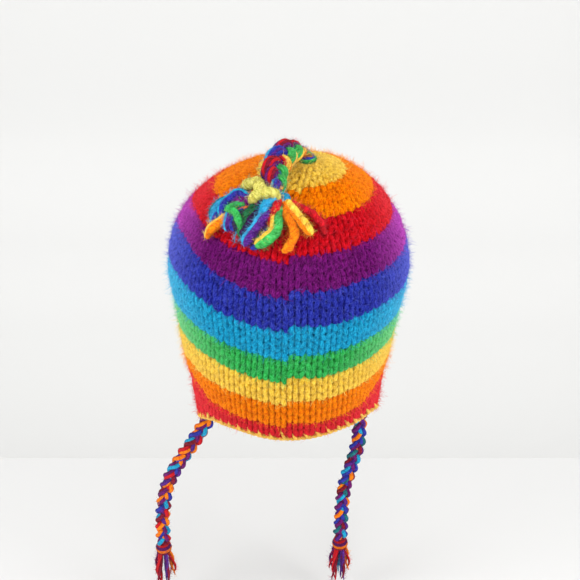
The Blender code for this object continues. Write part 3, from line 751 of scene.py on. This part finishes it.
def add_piece(kind, node, shells, materials):
    """One piece that stands for its solid, which it hides, and rides on the hat with its materials.
    """
    thing = make_object(kind + "_" + node, shells, materials)
    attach(thing, BODY)
    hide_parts(node)
    return thing


def set_inputs(tree, node, inputs):
    """Link each input, named or numbered, to a socket, or set it to a value."""
    for key, value in inputs.items():
        if isinstance(value, bpy.types.NodeSocket):
            tree.links.new(value, node.inputs[key])
        else:
            node.inputs[key].default_value = value


def add_node(tree, kind, inputs, **settings):
    """Outputs of a new node with its settings and inputs."""
    node = tree.nodes.new("ShaderNode" + kind)
    for name, value in settings.items():
        setattr(node, name, value)
    set_inputs(tree, node, inputs)
    return node.outputs


def new_material(name, inputs):
    """A new material, with the inputs of its shader."""
    material = bpy.data.materials.new(name)
    material.use_nodes = True
    set_inputs(material.node_tree, material.node_tree.nodes["Principled BSDF"], inputs)
    return material


def mix_of(tree, mode, first, second, share):
    """Mix of a colour with another one, which is a socket or a fixed colour."""
    if isinstance(second, tuple):
        second = (*second, 1.0)
    return add_node(tree, "Mix", {6: first, 7: second, 0: share},
                    data_type="RGBA", blend_type=mode)[2]


def darker(tree, colour, shade):
    return mix_of(tree, "MULTIPLY", colour, shade, 1.0)


def noise_of(tree, vector, scale, detail, stretch=(1.0, 1.0, 1.0)):
    """Noise over a vector, stretched along its axes."""
    place = add_node(tree, "Mapping", {"Vector": vector, "Scale": stretch})["Vector"]
    return add_node(tree, "TexNoise", {
        "Vector": place, "Scale": scale, "Detail": detail, "Roughness": 0.62})["Fac"]


def ramp_of(tree, value, low, high, low_value, high_value):
    """Value moved from one range to another and kept inside it."""
    return add_node(tree, "MapRange", {
        "Value": value, "From Min": low, "From Max": high,
        "To Min": low_value, "To Max": high_value})["Result"]


def blend(tree, mode, first, second, value, low, high, most=1.0):
    """Mix of two colours whose share grows from nothing as a value goes from low to high."""
    return mix_of(tree, mode, first, second, ramp_of(tree, value, low, high, 0.0, most))


def halo_of(tree, place):
    """How far the hat as a whole, read as an egg, turns away: the halo's sheen is strongest at
    its outline, where the loose fibres lie one behind the other."""
    outwards = place
    for operation, value in (("SUBTRACT", HALO_CENTRE), ("MULTIPLY", HALO_SHAPE)):
        outwards = add_node(
            tree, "VectorMath", {0: outwards, 1: value}, operation=operation)["Vector"]
    direction = add_node(tree, "VectorMath", {0: outwards}, operation="NORMALIZE")["Vector"]
    return add_node(tree, "LayerWeight", {"Blend": 0.5, "Normal": direction})["Facing"]


def attribute_of(tree, name, output):
    return add_node(tree, "Attribute", {}, attribute_name=name)[output]


def gamma_of(tree, colour, power):
    return add_node(tree, "Gamma", {"Color": colour, "Gamma": power})["Color"]


def start_wool(name, roughness, specular, sheen_colour, sheen, halo_sheen):
    """A new material with its sheen, and the values that its colour is made from: the yarn's
    colour, the place along the yarn, how far out it lies, which the painted shade follows,
    tufts, and the place in the hat."""
    material = new_material(name, {
        "Roughness": roughness, "Specular IOR Level": specular,
        "Sheen Roughness": SHEEN_ROUGHNESS, "Sheen Tint": (*sheen_colour, 1.0)})
    tree = material.node_tree
    shader = tree.nodes["Principled BSDF"]
    place = add_node(tree, "TexCoord", {})["Object"]
    halo = ramp_of(tree, halo_of(tree, place), *HALO_TURN, sheen, halo_sheen)
    set_inputs(tree, shader, {"Sheen Weight": halo})
    return (material, shader, attribute_of(tree, "tint", "Color"),
            attribute_of(tree, "strand", "Vector"), attribute_of(tree, "outward", "Fac"),
            noise_of(tree, place, CLUMP_SCALE, 3.0), place)


def wool_material(name, sheen_colour, painted_crevice_shade, pile=0.9, halo_sheen=HALO_SHEEN):
    """Wool yarn: lighter and deeper fibres that follow the yarn, a felted grain and a soft
    sheen. Painted shade darkens it where it lies deep in the fabric, in the gaps between
    stitches and on the yarn's inner side."""
    material, shader, tint, strand, depth, clumps, place = start_wool(
        name, 0.92, 0.03, sheen_colour, YARN_SHEEN, halo_sheen)
    tree = material.node_tree
    streaks = noise_of(tree, strand, 4.0, 3.0, (1.0, 1.0, 0.32))
    grain = noise_of(tree, place, GRAIN_SCALE, 4.0)
    deep = darker(tree, gamma_of(tree, tint, 1.5), (0.62, 0.62, 0.62))
    light = gamma_of(tree, tint, 0.78)
    # painted shade: the deep colour darkened again, for places deep in the fabric
    painted_hollow_shade = darker(tree, deep, (0.55, 0.48, 0.50))
    colour = blend(tree, "MIX", deep, tint, streaks, 0.38, 0.52)
    colour = blend(tree, "MIX", colour, light, streaks, 0.52, 0.66, 0.9)
    colour = blend(tree, "MIX", colour, deep, grain, 0.48, 0.36, 0.7)
    colour = blend(tree, "MULTIPLY", colour, CLUMP_SHADE, clumps, *CLUMP_SPAN)
    # painted shade laid over the points that lie deep, the more the deeper they are
    colour = blend(tree, "MIX", colour, painted_hollow_shade, depth, 0.66, -0.05, painted_crevice_shade)
    plies = noise_of(tree, strand, 5.5, 3.0, (1.0, 1.0, 0.30))
    height = add_node(tree, "Math", {0: plies, 1: grain}, operation="ADD")[0]
    relief = add_node(tree, "Bump", {
        "Strength": pile, "Distance": 0.9 * MM, "Height": height})["Normal"]
    set_inputs(tree, shader, {"Base Color": colour, "Normal": relief})
    return material


def fuzz_material(name, sheen_colour, halo_sheen=HALO_SHEEN):
    """Loose fibres: the yarn's colour, some lighter and some deeper, with painted shade on those
    rooted deep in the fabric.
    """
    material, shader, tint, strand, depth, clumps, _place = start_wool(
        name, 0.8, 0.1, sheen_colour, FIBRE_SHEEN, halo_sheen)
    tree = material.node_tree
    light = gamma_of(tree, tint, 0.68)
    deep = darker(tree, tint, (0.62, 0.58, 0.62))
    # painted shade for fibres that grow from deep places
    painted_hollow_shade = darker(tree, tint, (0.42, 0.36, 0.40))
    colour = blend(tree, "MIX", deep, light, noise_of(tree, strand, 1.0, 1.0), 0.30, 0.50)
    colour = blend(tree, "MULTIPLY", colour, CLUMP_SHADE, clumps, *CLUMP_SPAN)
    # painted shade laid over fibres by how deep their roots lie
    colour = blend(tree, "MIX", colour, painted_hollow_shade, depth, 0.74, 0.30, 0.95)
    set_inputs(tree, shader, {"Base Color": colour})
    return material


def glow(colour):
    """The colour at full strength and a little paler, for the sheen of its loose fibres."""
    share = PALE_SHARES.get(colour, 0.10)
    return tuple(mix(channel / max(colour), 1.0, share) for channel in colour)


def plain_wool(name, colour, painted_crevice_shade=0.85):
    """Yarn and loose fibres of one colour, with the halo of the hat's outline, and painted shade
    of a given strength where they lie deep in the fabric.
    """
    return [wool_material("wool_" + name, glow(colour), painted_crevice_shade),
            fuzz_material("fuzz_" + name, glow(colour))]


def mixed_wool(name, painted_crevice_shade):
    """Felted yarn and fibres of many colours, with hardly any halo, and painted shade of a given
    strength where they lie deep in the fabric.
    """
    return [wool_material("wool_" + name, MIXED_SHEEN, painted_crevice_shade, 0.6, MIXED_HALO_SHEEN),
            fuzz_material("fuzz_" + name, MIXED_SHEEN, MIXED_HALO_SHEEN)]


def back_stretch(run, turn):
    """Azimuth of a wale. Low on the hat the wales are spread apart at the centre back."""
    fade = smooth_step(1.0 - run / (LOW_BACK_STRETCH_TOP * FULL_RUN))
    return turn + LOW_BACK_STRETCH * fade * np.sin(turn)


def wales_at(run):
    """Stitches in the round at a run, fewer from the decreases upwards."""
    if run < DECREASES_START * FULL_RUN:
        return MOST_WALES
    a_sector = round(float(perimeter(run)) / (SECTORS * WALE_WIDTH))
    return min(SECTORS * max(a_sector, 1), MOST_WALES)


def row_of_stitches(rng, middle, pitch, first_turn, stitches, wales, first=False):
    """Centre line of one row of loops, from a turn towards -X, how far out each point is and
    how thick the yarn is there. The feet of the first row lie on the edging."""
    count = stitches * SAMPLES_A_STITCH + 1
    phase = np.arange(count) * CIRCLE / SAMPLES_A_STITCH
    half = SAMPLES_A_STITCH // 2
    lean = mix(STITCH_LEAN_LOW, STITCH_LEAN_HIGH, smooth_step(middle / (0.5 * FULL_RUN)))
    lean = lean + smooth_noise(rng, count, SAMPLES_A_STITCH, LEAN_NOISE)
    place = phase / CIRCLE + lean * np.sin(2 * phase)
    place = place + smooth_noise(rng, count, half, PLACE_NOISE)
    rise = (pitch / 2 + STITCH_OVERLAP) * np.cos(phase)
    rise = rise + smooth_noise(rng, count, half, RISE_NOISE)
    relief = -STITCH_RELIEF * (np.cos(2 * phase) + HEAD_SINK * np.cos(phase))
    relief += smooth_noise(rng, count, half, RELIEF_NOISE)
    if first:
        relief += FIRST_FOOT_RELIEF * np.clip(-np.cos(phase), 0.0, 1.0) ** 2
    turn = first_turn - place * CIRCLE / wales
    azimuth = back_stretch(middle, turn)
    run = middle + rise
    run = run + row_shift(run, azimuth) + rim_lift(run, azimuth)
    thickness = 1.0 - HEAD_THINNING * np.cos(phase) ** 2
    thickness = thickness + smooth_noise(rng, count, 5, GIRTH_NOISE)
    return run, azimuth, relief, thickness


def yarn_from_rows(rows, colour):
    """One yarn through rows of loops that follow each other."""
    run, azimuth, relief, thickness = (np.concatenate(column) for column in zip(*rows))
    points = wall_point(run, azimuth, YARN_DEPTH - relief)
    return tube(points, YARN_RADIUS * thickness, wall_normal(run, azimuth), colour,
                sides=YARN_SIDES, facing_depth=relief / STITCH_RELIEF, twist=YARN_TWIST)


def felt_mat(low, high, colour):
    """Matted fibres between the stitches' outer and inner sides, a thin closed ring. Its outward
    is zero all over, so the wool material paints it in the painted shade of the gaps.
    """
    azimuth = np.arange(MAT_COLUMNS) * CIRCLE / MAT_COLUMNS + CIRCLE / MAT_COLUMNS / 2
    runs = np.linspace(low, high, MAT_ROWS)
    loops = [(run, MAT_DEPTHS[0]) for run in runs] + [(run, MAT_DEPTHS[1]) for run in runs[::-1]]
    points = np.vstack([
        wall_point(run + row_shift(run, azimuth), azimuth, depth) for run, depth in loops
    ])
    ring = np.arange(len(loops))[:, None] * MAT_COLUMNS
    next_ring = (ring + MAT_COLUMNS) % len(points)
    here = np.arange(MAT_COLUMNS)[None, :]
    after = (here + 1) % MAT_COLUMNS
    quads = np.stack((ring + here, ring + after, next_ring + after, next_ring + here), axis=-1)
    # outward of zero everywhere: the mat takes the painted shade of the gaps between stitches
    return shell(points, [quads.reshape(-1, 4)], np.broadcast_to(colour, points.shape),
                 points / STRAND_UNIT, np.zeros(len(points)), np.zeros(points.shape))


def make_stripes():
    """Every stripe of the wall as one yarn in rows of loops."""
    low = EDGING_HEIGHT
    for index, (name, top, rows, colour, slot) in enumerate(STRIPES):
        rng = np.random.default_rng(100 + index)
        high = top * FULL_RUN
        pitch = (high - low) / rows
        made = []
        stitches = 0
        for row in range(rows):
            middle = low + (row + 0.5) * pitch
            wales = wales_at(middle)
            first = index == 0 and row == 0
            made.append(row_of_stitches(rng, middle, pitch, 0.0, wales, wales, first))
            stitches += wales
        yarn = yarn_from_rows(made, colour)
        shells = [yarn, felt_mat(low, high - MAT_GAP, colour)]
        shells.append(fibres_from(rng, yarn, stitches * FIBRES_A_STITCH))
        shells.append(pile_from(rng, yarn, stitches * PILE_A_STITCH))
        add_piece("knitted", name, shells, plain_wool(name, colour))
        low = high


def make_flaps():
    """Short rows of the lowest red yarn below the rim, each narrower than the one above."""
    pitch = FLAP_DROP / (FLAP_ROWS + FLAP_ROW_SPARE)
    for index, (side, tip) in enumerate(FLAPS):
        rng = np.random.default_rng(200 + index)
        turns = tip + np.linspace(-FLAP_TURN_REACH, FLAP_TURN_REACH, 600)
        yarns = []
        stitches = 0
        for row in range(FLAP_ROWS):
            middle = EDGING_HEIGHT - (row + 0.5) * pitch
            share = (row + FLAP_ROW_SHARE) * pitch / FLAP_DROP
            half_turn = FLAP_HALF_ANGLE * 2 / math.pi * math.acos(share ** (2 / 3))
            ends = np.interp((tip - half_turn, tip + half_turn), back_stretch(middle, turns), turns)
            count = max(3, round((ends[1] - ends[0]) / CIRCLE * MOST_WALES))
            run, azimuth, relief, thickness = row_of_stitches(
                rng, middle, pitch, ends[1], count, MOST_WALES)
            run = np.maximum(run, rim_line(azimuth) + FLAP_FOOT)
            yarns.append(yarn_from_rows([(run, azimuth, relief, thickness)], RED))
            stitches += count
        long_ones = stitches * FIBRES_A_STITCH // FLAP_ROWS
        short_ones = stitches * PILE_A_STITCH // FLAP_ROWS
        shells = yarns + [fibres_from(rng, yarn, long_ones) for yarn in yarns]
        shells += [pile_from(rng, yarn, short_ones) for yarn in yarns]
        name = "ear_flap_" + side
        add_piece("knitted", name, shells, plain_wool(name, RED))


def make_edging():
    """Cast-off edging: a core of two twisted strands, wrapped over the rim once for each wale
    so that a slanting tooth of each wrap stands up between the red stitches."""
    rng = np.random.default_rng(300)
    shells = []
    turn = np.arange(CORE_POINTS + 1) * CIRCLE / CORE_POINTS
    azimuth = back_stretch(0.0, turn)
    for strand in range(2):
        phase = turn * MOST_WALES + strand * math.pi
        run = rim_line(azimuth) + CORE_RISE + CORE_WAVE * np.sin(phase)
        points = wall_point(run, azimuth, CORE_DEPTH + CORE_TURN * np.cos(phase))
        shells.append(tube(points, CORE_RADIUS, wall_normal(run, azimuth), EDGE_YELLOW, sides=6,
                           twist=EDGING_TWIST))
    count = MOST_WALES * WRAP_SAMPLES + 1
    phase = np.arange(count) * CIRCLE / WRAP_SAMPLES
    azimuth = back_stretch(0.0, -(phase + math.pi) / MOST_WALES)
    jitter = smooth_noise(rng, count, WRAP_SAMPLES, WRAP_JITTER) * (1.0 + np.cos(phase))
    run = rim_line(azimuth) + WRAP_RISE + WRAP_REACH * np.cos(phase) + jitter
    points = wall_point(run, azimuth, WRAP_DEPTH + WRAP_TURN * np.sin(phase))
    thickness = WRAP_RADIUS * (
        1.0 - WRAP_THINNING * np.cos(phase) ** 2 + smooth_noise(rng, count, 5, 0.08))
    wraps = tube(points, thickness, wall_normal(run, azimuth), EDGE_YELLOW, sides=8,
                 facing_depth=-np.sin(phase), twist=EDGING_TWIST)
    shells.append(wraps)
    shells.append(fibres_from(rng, wraps, MOST_WALES * FIBRES_A_STITCH, length=WRAP_FIBRE_LENGTH))
    materials = plain_wool("rim_edging", EDGE_YELLOW, 0.3)
    add_piece("knitted", "rim_edging", shells, materials)


def edging_lowest(tip):
    """Height of the edging's lowest corner at an azimuth."""
    top = edging_top(np.float64(tip))
    bottom = top - EDGING_HEIGHT + GAP
    middle = (top + bottom) / 2
    corners = [wall_point(bottom, tip, WALL * 0.15), wall_point(bottom, tip, WALL * 0.85),
               wall_point(middle, tip, -EDGING_PROUD), wall_point(middle, tip, WALL + EDGING_PROUD)]
    return min(corner[2] for corner in corners)


def tie_line(side, tip):
    """Smooth centre line of a tie, from under the edging of its flap."""
    root = wall_point(edging_top(np.float64(tip)) - EDGING_HEIGHT, tip, WALL / 2)
    root[2] = edging_lowest(tip) - GAP
    route = root + np.array(TIE_ROUTES[side]) * MM
    return spread_evenly(catmull_rom(route, 12), 110, TIE_LENGTH)


def braid_strand(line, across, over, angle, width, thickness):
    """Centre line of one strand of a three-strand braid along a path."""
    return (line + across * (width * np.sin(angle))[:, None]
            + over * (thickness * np.sin(2 * angle))[:, None])


def make_ties():
    """Each tie is a braid of three strands of three yarns, with a knot and loose ends."""
    for number, (side, tip) in enumerate(FLAPS):
        rng = np.random.default_rng(400 + number)
        line = tie_line(side, tip)
        along, over = carried_frames(line, TIE_FACE)
        across = np.cross(over, along)
        runs = np.linspace(0.0, TIE_LENGTH, len(line))
        shells = []
        for strand, colours in enumerate(TIE_YARNS[side]):
            angle = CIRCLE * runs / TIE_BRAID_CYCLE + strand * CIRCLE / 3
            centre = braid_strand(line, across, over, angle, TIE_STRAND_ASIDE, TIE_STRAND_RISE)
            for yarn, colour in enumerate(colours):
                turn = CIRCLE * runs / TIE_YARN_LAY + yarn * CIRCLE / 3
                offset = across * np.cos(turn)[:, None] + over * np.sin(turn)[:, None]
                points = centre + offset * (TIE_STRAND_RADIUS - TIE_YARN_RADIUS)
                thickness = TIE_YARN_RADIUS * (1.0 + smooth_noise(rng, len(points), 4, 0.06))
                shells.append(tube(points, thickness, over, colour, sides=8, twist=TIE_TWIST))
        shells += [fibres_from(rng, yarn, TIE_FIBRES, -1.0, 0.8, TIE_FIBRE_LENGTH, 1)
                   for yarn in list(shells)]
        name = "tie_" + side
        braid = add_piece("woollen", name, shells, mixed_wool(name, 0.5))
        tassel = make_tie_tassel("tie_tassel_" + side, line, rng)


def make_tie_tassel(name, line, rng):
    """End knot of wrapped yarn, and loose locks of three yarns each below it."""
    along = unit(line[-1] - line[-3])
    centre = line[-1] + along * (TIE_KNOT_HEIGHT / 2 + GAP)
    first = unit(np.cross(along, (0.0, 1.0, 0.2)))
    second = np.cross(along, first)
    wrap = np.linspace(0.0, KNOT_TURNS * CIRCLE, 96)
    share = wrap / wrap[-1]
    girth = (TIE_KNOT_WIDTH / 2 - 2.0 * MM) * np.sqrt(
        np.maximum(1.0 - (1.7 * (share - 0.5)) ** 2, 0.1))
    coil = (centre + along * ((share - 0.5) * (TIE_KNOT_HEIGHT - 4.0 * MM))[:, None]
            + first * (girth * np.cos(wrap))[:, None] + second * (girth * np.sin(wrap))[:, None])
    bands = np.array([RED, PURPLE, ORANGE, MAROON])
    bands = bands[np.minimum((share * KNOT_TURNS).astype(int), len(bands) - 1)]
    core = centre + along * np.linspace(-0.45, 0.45, 7)[:, None] * TIE_KNOT_HEIGHT
    shells = [tube(coil, KNOT_YARN_RADIUS, along, bands, sides=8, twist=KNOT_TWIST),
              tube(core, TIE_KNOT_WIDTH * 0.33, first, MAROON, sides=10)]
    start = np.array(Vector(along).orthogonal().normalized())
    cross = np.cross(along, start)
    shares = np.linspace(0.0, 1.0, 22)
    narrowing = np.interp(shares, (0.0, 0.7, 1.0), (1.0, 1.0, 0.35))
    for degrees, spread, length, colours in TIE_LOCKS:
        angle = math.radians(degrees)
        outward = start * math.cos(angle) + cross * math.sin(angle)
        reach = TIE_LOCK_LENGTH * length
        bend = reach * spread * shares * (1.6 - shares) * 0.55 + TIE_LOCK_DIAMETER * 0.5
        middle = centre + along * (reach * shares)[:, None] + outward * bend[:, None]
        for yarn in range(3):
            turn = yarn * CIRCLE / 3 + shares * 5.0
            sway = outward * np.cos(turn)[:, None] + cross * np.sin(turn)[:, None]
            points = middle + sway * TIE_LOCK_YARN_ASIDE * (1.0 + 0.8 * shares)[:, None]
            thickness = TIE_LOCK_YARN_RADIUS * narrowing
            shells.append(tube(points, thickness, outward, colours[yarn % 2], sides=6,
                               twist=TIE_TWIST))
    shells += fuzz_of(rng, shells, 15, 60)
    return add_piece("woollen", name, shells, mixed_wool(name, 0.5))


def make_root_knot():
    """Small knot of three yarns on the crown's tip."""
    rng = np.random.default_rng(500)
    tip = wall_point(FULL_RUN, 0.0)
    shells = []
    wrap = np.linspace(0.0, 2.0 * CIRCLE, 64)
    for radius, lift, tilt, yarn_radius, colour in ROOT_RINGS:
        points = tip + np.stack((
            radius * MM * np.cos(wrap) * (1 + 0.1 * np.sin(wrap * 0.5)),
            radius * MM * np.sin(wrap),
            lift * MM + radius * MM * tilt * np.cos(wrap) + 0.3 * MM * np.sin(wrap / 2),
        ), axis=-1)
        shells.append(tube(points, yarn_radius * MM, (0.0, 0.0, 1.0), colour, sides=8,
                           twist=KNOT_TWIST))
    shells += fuzz_of(rng, shells, 20, 90)
    materials = mixed_wool("topknot_root", 0.6)
    add_piece("felted", "topknot_root", shells, materials)


def braid_line(count):
    root_top = wall_point(FULL_RUN, 0.0) + np.array((0.0, 0.0, ROOT_KNOT_HEIGHT + 2 * GAP))
    return spread_evenly(catmull_rom(root_top + np.array(BRAID_ROUTE) * MM, 10), count)


def make_braid():
    """Thick braid of three strands, each a bundle of felted strips in many colours."""
    rng = np.random.default_rng(600)
    line = braid_line(80)
    length = path_length(line)
    runs = np.linspace(0.0, length, len(line))
    along = tangents(line)
    along[0] = (0.0, 0.0, 1.0)
    raised = np.clip(runs / (10.0 * MM), 0.0, 1.0)[:, None]
    up = mix(np.array(BRAID_ROOT_FACE), np.array(BRAID_FACE), raised)
    over = unit(up - along * np.sum(up * along, axis=1, keepdims=True))
    across = np.cross(along, over)
    aside_share = smooth_step((runs / length - 0.35) / 0.5)
    line = line - np.array((BRAID_TAIL_SIDEWAYS, 0.0, 0.0)) * aside_share[:, None]
    share = mix(BRAID_NECK_SHARE, 1.0, smooth_step(runs / BRAID_NECK))
    share *= mix(BRAID_TAIL_SHARE, 1.0, np.clip((length - runs) / BRAID_TAIL, 0.0, 1.0))
    strand_radius = BRAID_STRAND_SHARE * BRAID_WIDTH
    shells = []
    for strand, (left_colours, right_colours) in enumerate(STRIP_COLOURS):
        angle = CIRCLE * runs / BRAID_CYCLE + strand * CIRCLE / 3 + BRAID_PHASE
        width = (BRAID_WIDTH / 2 - strand_radius) * share
        lift = (BRAID_THICKNESS / 2 - strand_radius) * share
        centre = braid_strand(line, across, over, angle, width, lift)
        aside = -unit(np.cross(tangents(centre), over))
        on_right = smooth_step(0.5 - 4.0 * np.sin(angle))[:, None]
        for (offset, above, radius), left, right in zip(STRIPS, left_colours, right_colours):
            points = (centre + aside * (offset * MM * share)[:, None]
                      + over * (above * MM * share)[:, None])
            thickness = radius * MM * share * (1.0 + smooth_noise(rng, len(line), 3, 0.09))
            tint = mix(np.array(left), np.array(right), on_right)
            shells.append(tube(points, thickness, over, tint, sides=8, twist=STRIP_TWIST))
    shells += fuzz_of(rng, shells, 70, 170)
    materials = mixed_wool("topknot_braid", 0.6)
    add_piece("felted", "topknot_braid", shells, materials)


def crown_place(reach, degrees, lift, diameter):
    """A place over the crown: reach from the tip in millimetres, azimuth in degrees, and lift
    over the wall in diameters."""
    return wall_point(FULL_RUN - reach * MM, math.radians(degrees), -lift * diameter - GAP)


def make_tassel():
    """Felted locks that fan out from the braid's end and lie on the crown."""
    rng = np.random.default_rng(700)
    line = braid_line(18)
    along = unit(line[-1] - line[-2])
    up = wall_normal(FULL_RUN - HEAD_REACH, HEAD_AZIMUTH)
    rise = float(np.dot(along, up))
    half_length = math.hypot(
        TASSEL_HEAD_WIDTH / 2 * math.sqrt(1.0 - rise ** 2), TASSEL_HEAD_HEIGHT / 2 * rise)
    centre = line[-1] + along * (half_length + GAP)
    shells = []
    share = np.linspace(0.0, 1.0, LOCK_POINTS)
    girth = np.interp(share, *LOCK_GIRTH)
    aside, over, slim = LOCK_EDGE
    for thickness, places, colour, edge in TASSEL_LOCKS:
        diameter = LOCK_DIAMETER * thickness
        points = np.vstack([centre] + [crown_place(*place, diameter) for place in places])
        path = spread_evenly(catmull_rom(points, 8), LOCK_POINTS)
        up_here = unit(path - np.array(HALO_CENTRE))
        radii = diameter / 2 * LOCK_FILL * girth * (1.0 + smooth_noise(rng, LOCK_POINTS, 3, 0.07))
        wander = np.column_stack([
            smooth_noise(rng, LOCK_POINTS, 5, 0.35 * MM) for _axis in range(3)])
        path = path + wander * np.minimum(share * 4.0, 1.0)[:, None]
        streaks = 1.0 + smooth_noise(rng, LOCK_POINTS, 2, 0.14)[:, None]
        shells.append(tube(path, radii, up_here, np.clip(np.array(colour) * streaks, 0.0, 1.0),
                           sides=12, squash=0.85, twist=LOCK_TWIST))
        if edge != colour:
            side = unit(np.cross(tangents(path), up_here))
            strip = path + side * (radii * aside)[:, None] + up_here * (radii * over)[:, None]
            shells.append(tube(strip, radii * slim, up_here, edge, sides=8, twist=LOCK_TWIST))
    shells += fuzz_of(rng, shells, 40, 300)
    head = centre + up * np.linspace(-0.3, 0.3, 7)[:, None] * TASSEL_HEAD_HEIGHT
    shells.append(tube(head, TASSEL_HEAD_WIDTH * 0.32, along, TURQUOISE, sides=12))
    materials = mixed_wool("topknot_tassel", 0.4)
    add_piece("felted", "topknot_tassel", shells, materials)


def make_camera():
    data = bpy.data.cameras.new("camera")
    data.sensor_width = SENSOR_MM
    data.lens = SENSOR_MM * FOCAL_PIXELS / IMAGE_SIZE
    data.clip_start = 0.05
    data.clip_end = 20.0
    camera = add_object("camera", data)
    back = Vector((0.0, -math.cos(CAMERA_PITCH), math.sin(CAMERA_PITCH)))
    camera.location = CAMERA_AIM + back * CAMERA_DISTANCE
    camera.rotation_euler = (math.pi / 2 - CAMERA_PITCH, 0.0, 0.0)
    bpy.context.scene.camera = camera


def area_light(name, location, aim, size, power):
    data = bpy.data.lights.new(name, "AREA")
    data.shape = "DISK"
    data.size = size
    data.energy = power
    light = add_object(name, data)
    light.location = location
    light.rotation_euler = (Vector(aim) - Vector(location)).to_track_quat("-Z", "Y").to_euler()


def stage_sheet(name, outline, colour):
    """Wide matt sheet of the stage that follows an outline of y and z."""
    sides = (-STAGE_HALF_WIDTH, STAGE_HALF_WIDTH)
    verts = [(x, y, FLOOR_HEIGHT + z) for y, z in outline for x in sides]
    faces = [(2 * i, 2 * i + 1, 2 * i + 3, 2 * i + 2) for i in range(len(outline) - 1)]
    mesh = bpy.data.meshes.new(name)
    mesh.from_pydata(verts, [], faces)
    mesh.materials.append(new_material(name, {"Base Color": (*colour, 1.0), "Roughness": 0.8}))
    sheet = add_object(name, mesh)
    return sheet


def make_stage():
    """Pale table in front of a pale wall, in soft light from all round."""
    stage_sheet("table", TABLE_OUTLINE, TABLE_COLOUR)
    wall = stage_sheet("wall", WALL_OUTLINE, WALL_COLOUR)
    wall.data.shade_smooth()
    world = bpy.data.worlds.new("studio")
    world.use_nodes = True
    sky = world.node_tree.nodes["Background"]
    sky.inputs["Color"].default_value = (1.0, 1.0, 1.0, 1.0)
    sky.inputs["Strength"].default_value = WORLD_STRENGTH
    bpy.context.scene.world = world
    for name, location, size, power in LIGHTS:
        area_light(name, location, CAMERA_AIM, size, power)
    bpy.context.scene.view_settings.view_transform = "Standard"


make_camera()
make_ties()
make_stripes()
make_flaps()
make_edging()
make_root_knot()
make_braid()
make_tassel()
make_stage()
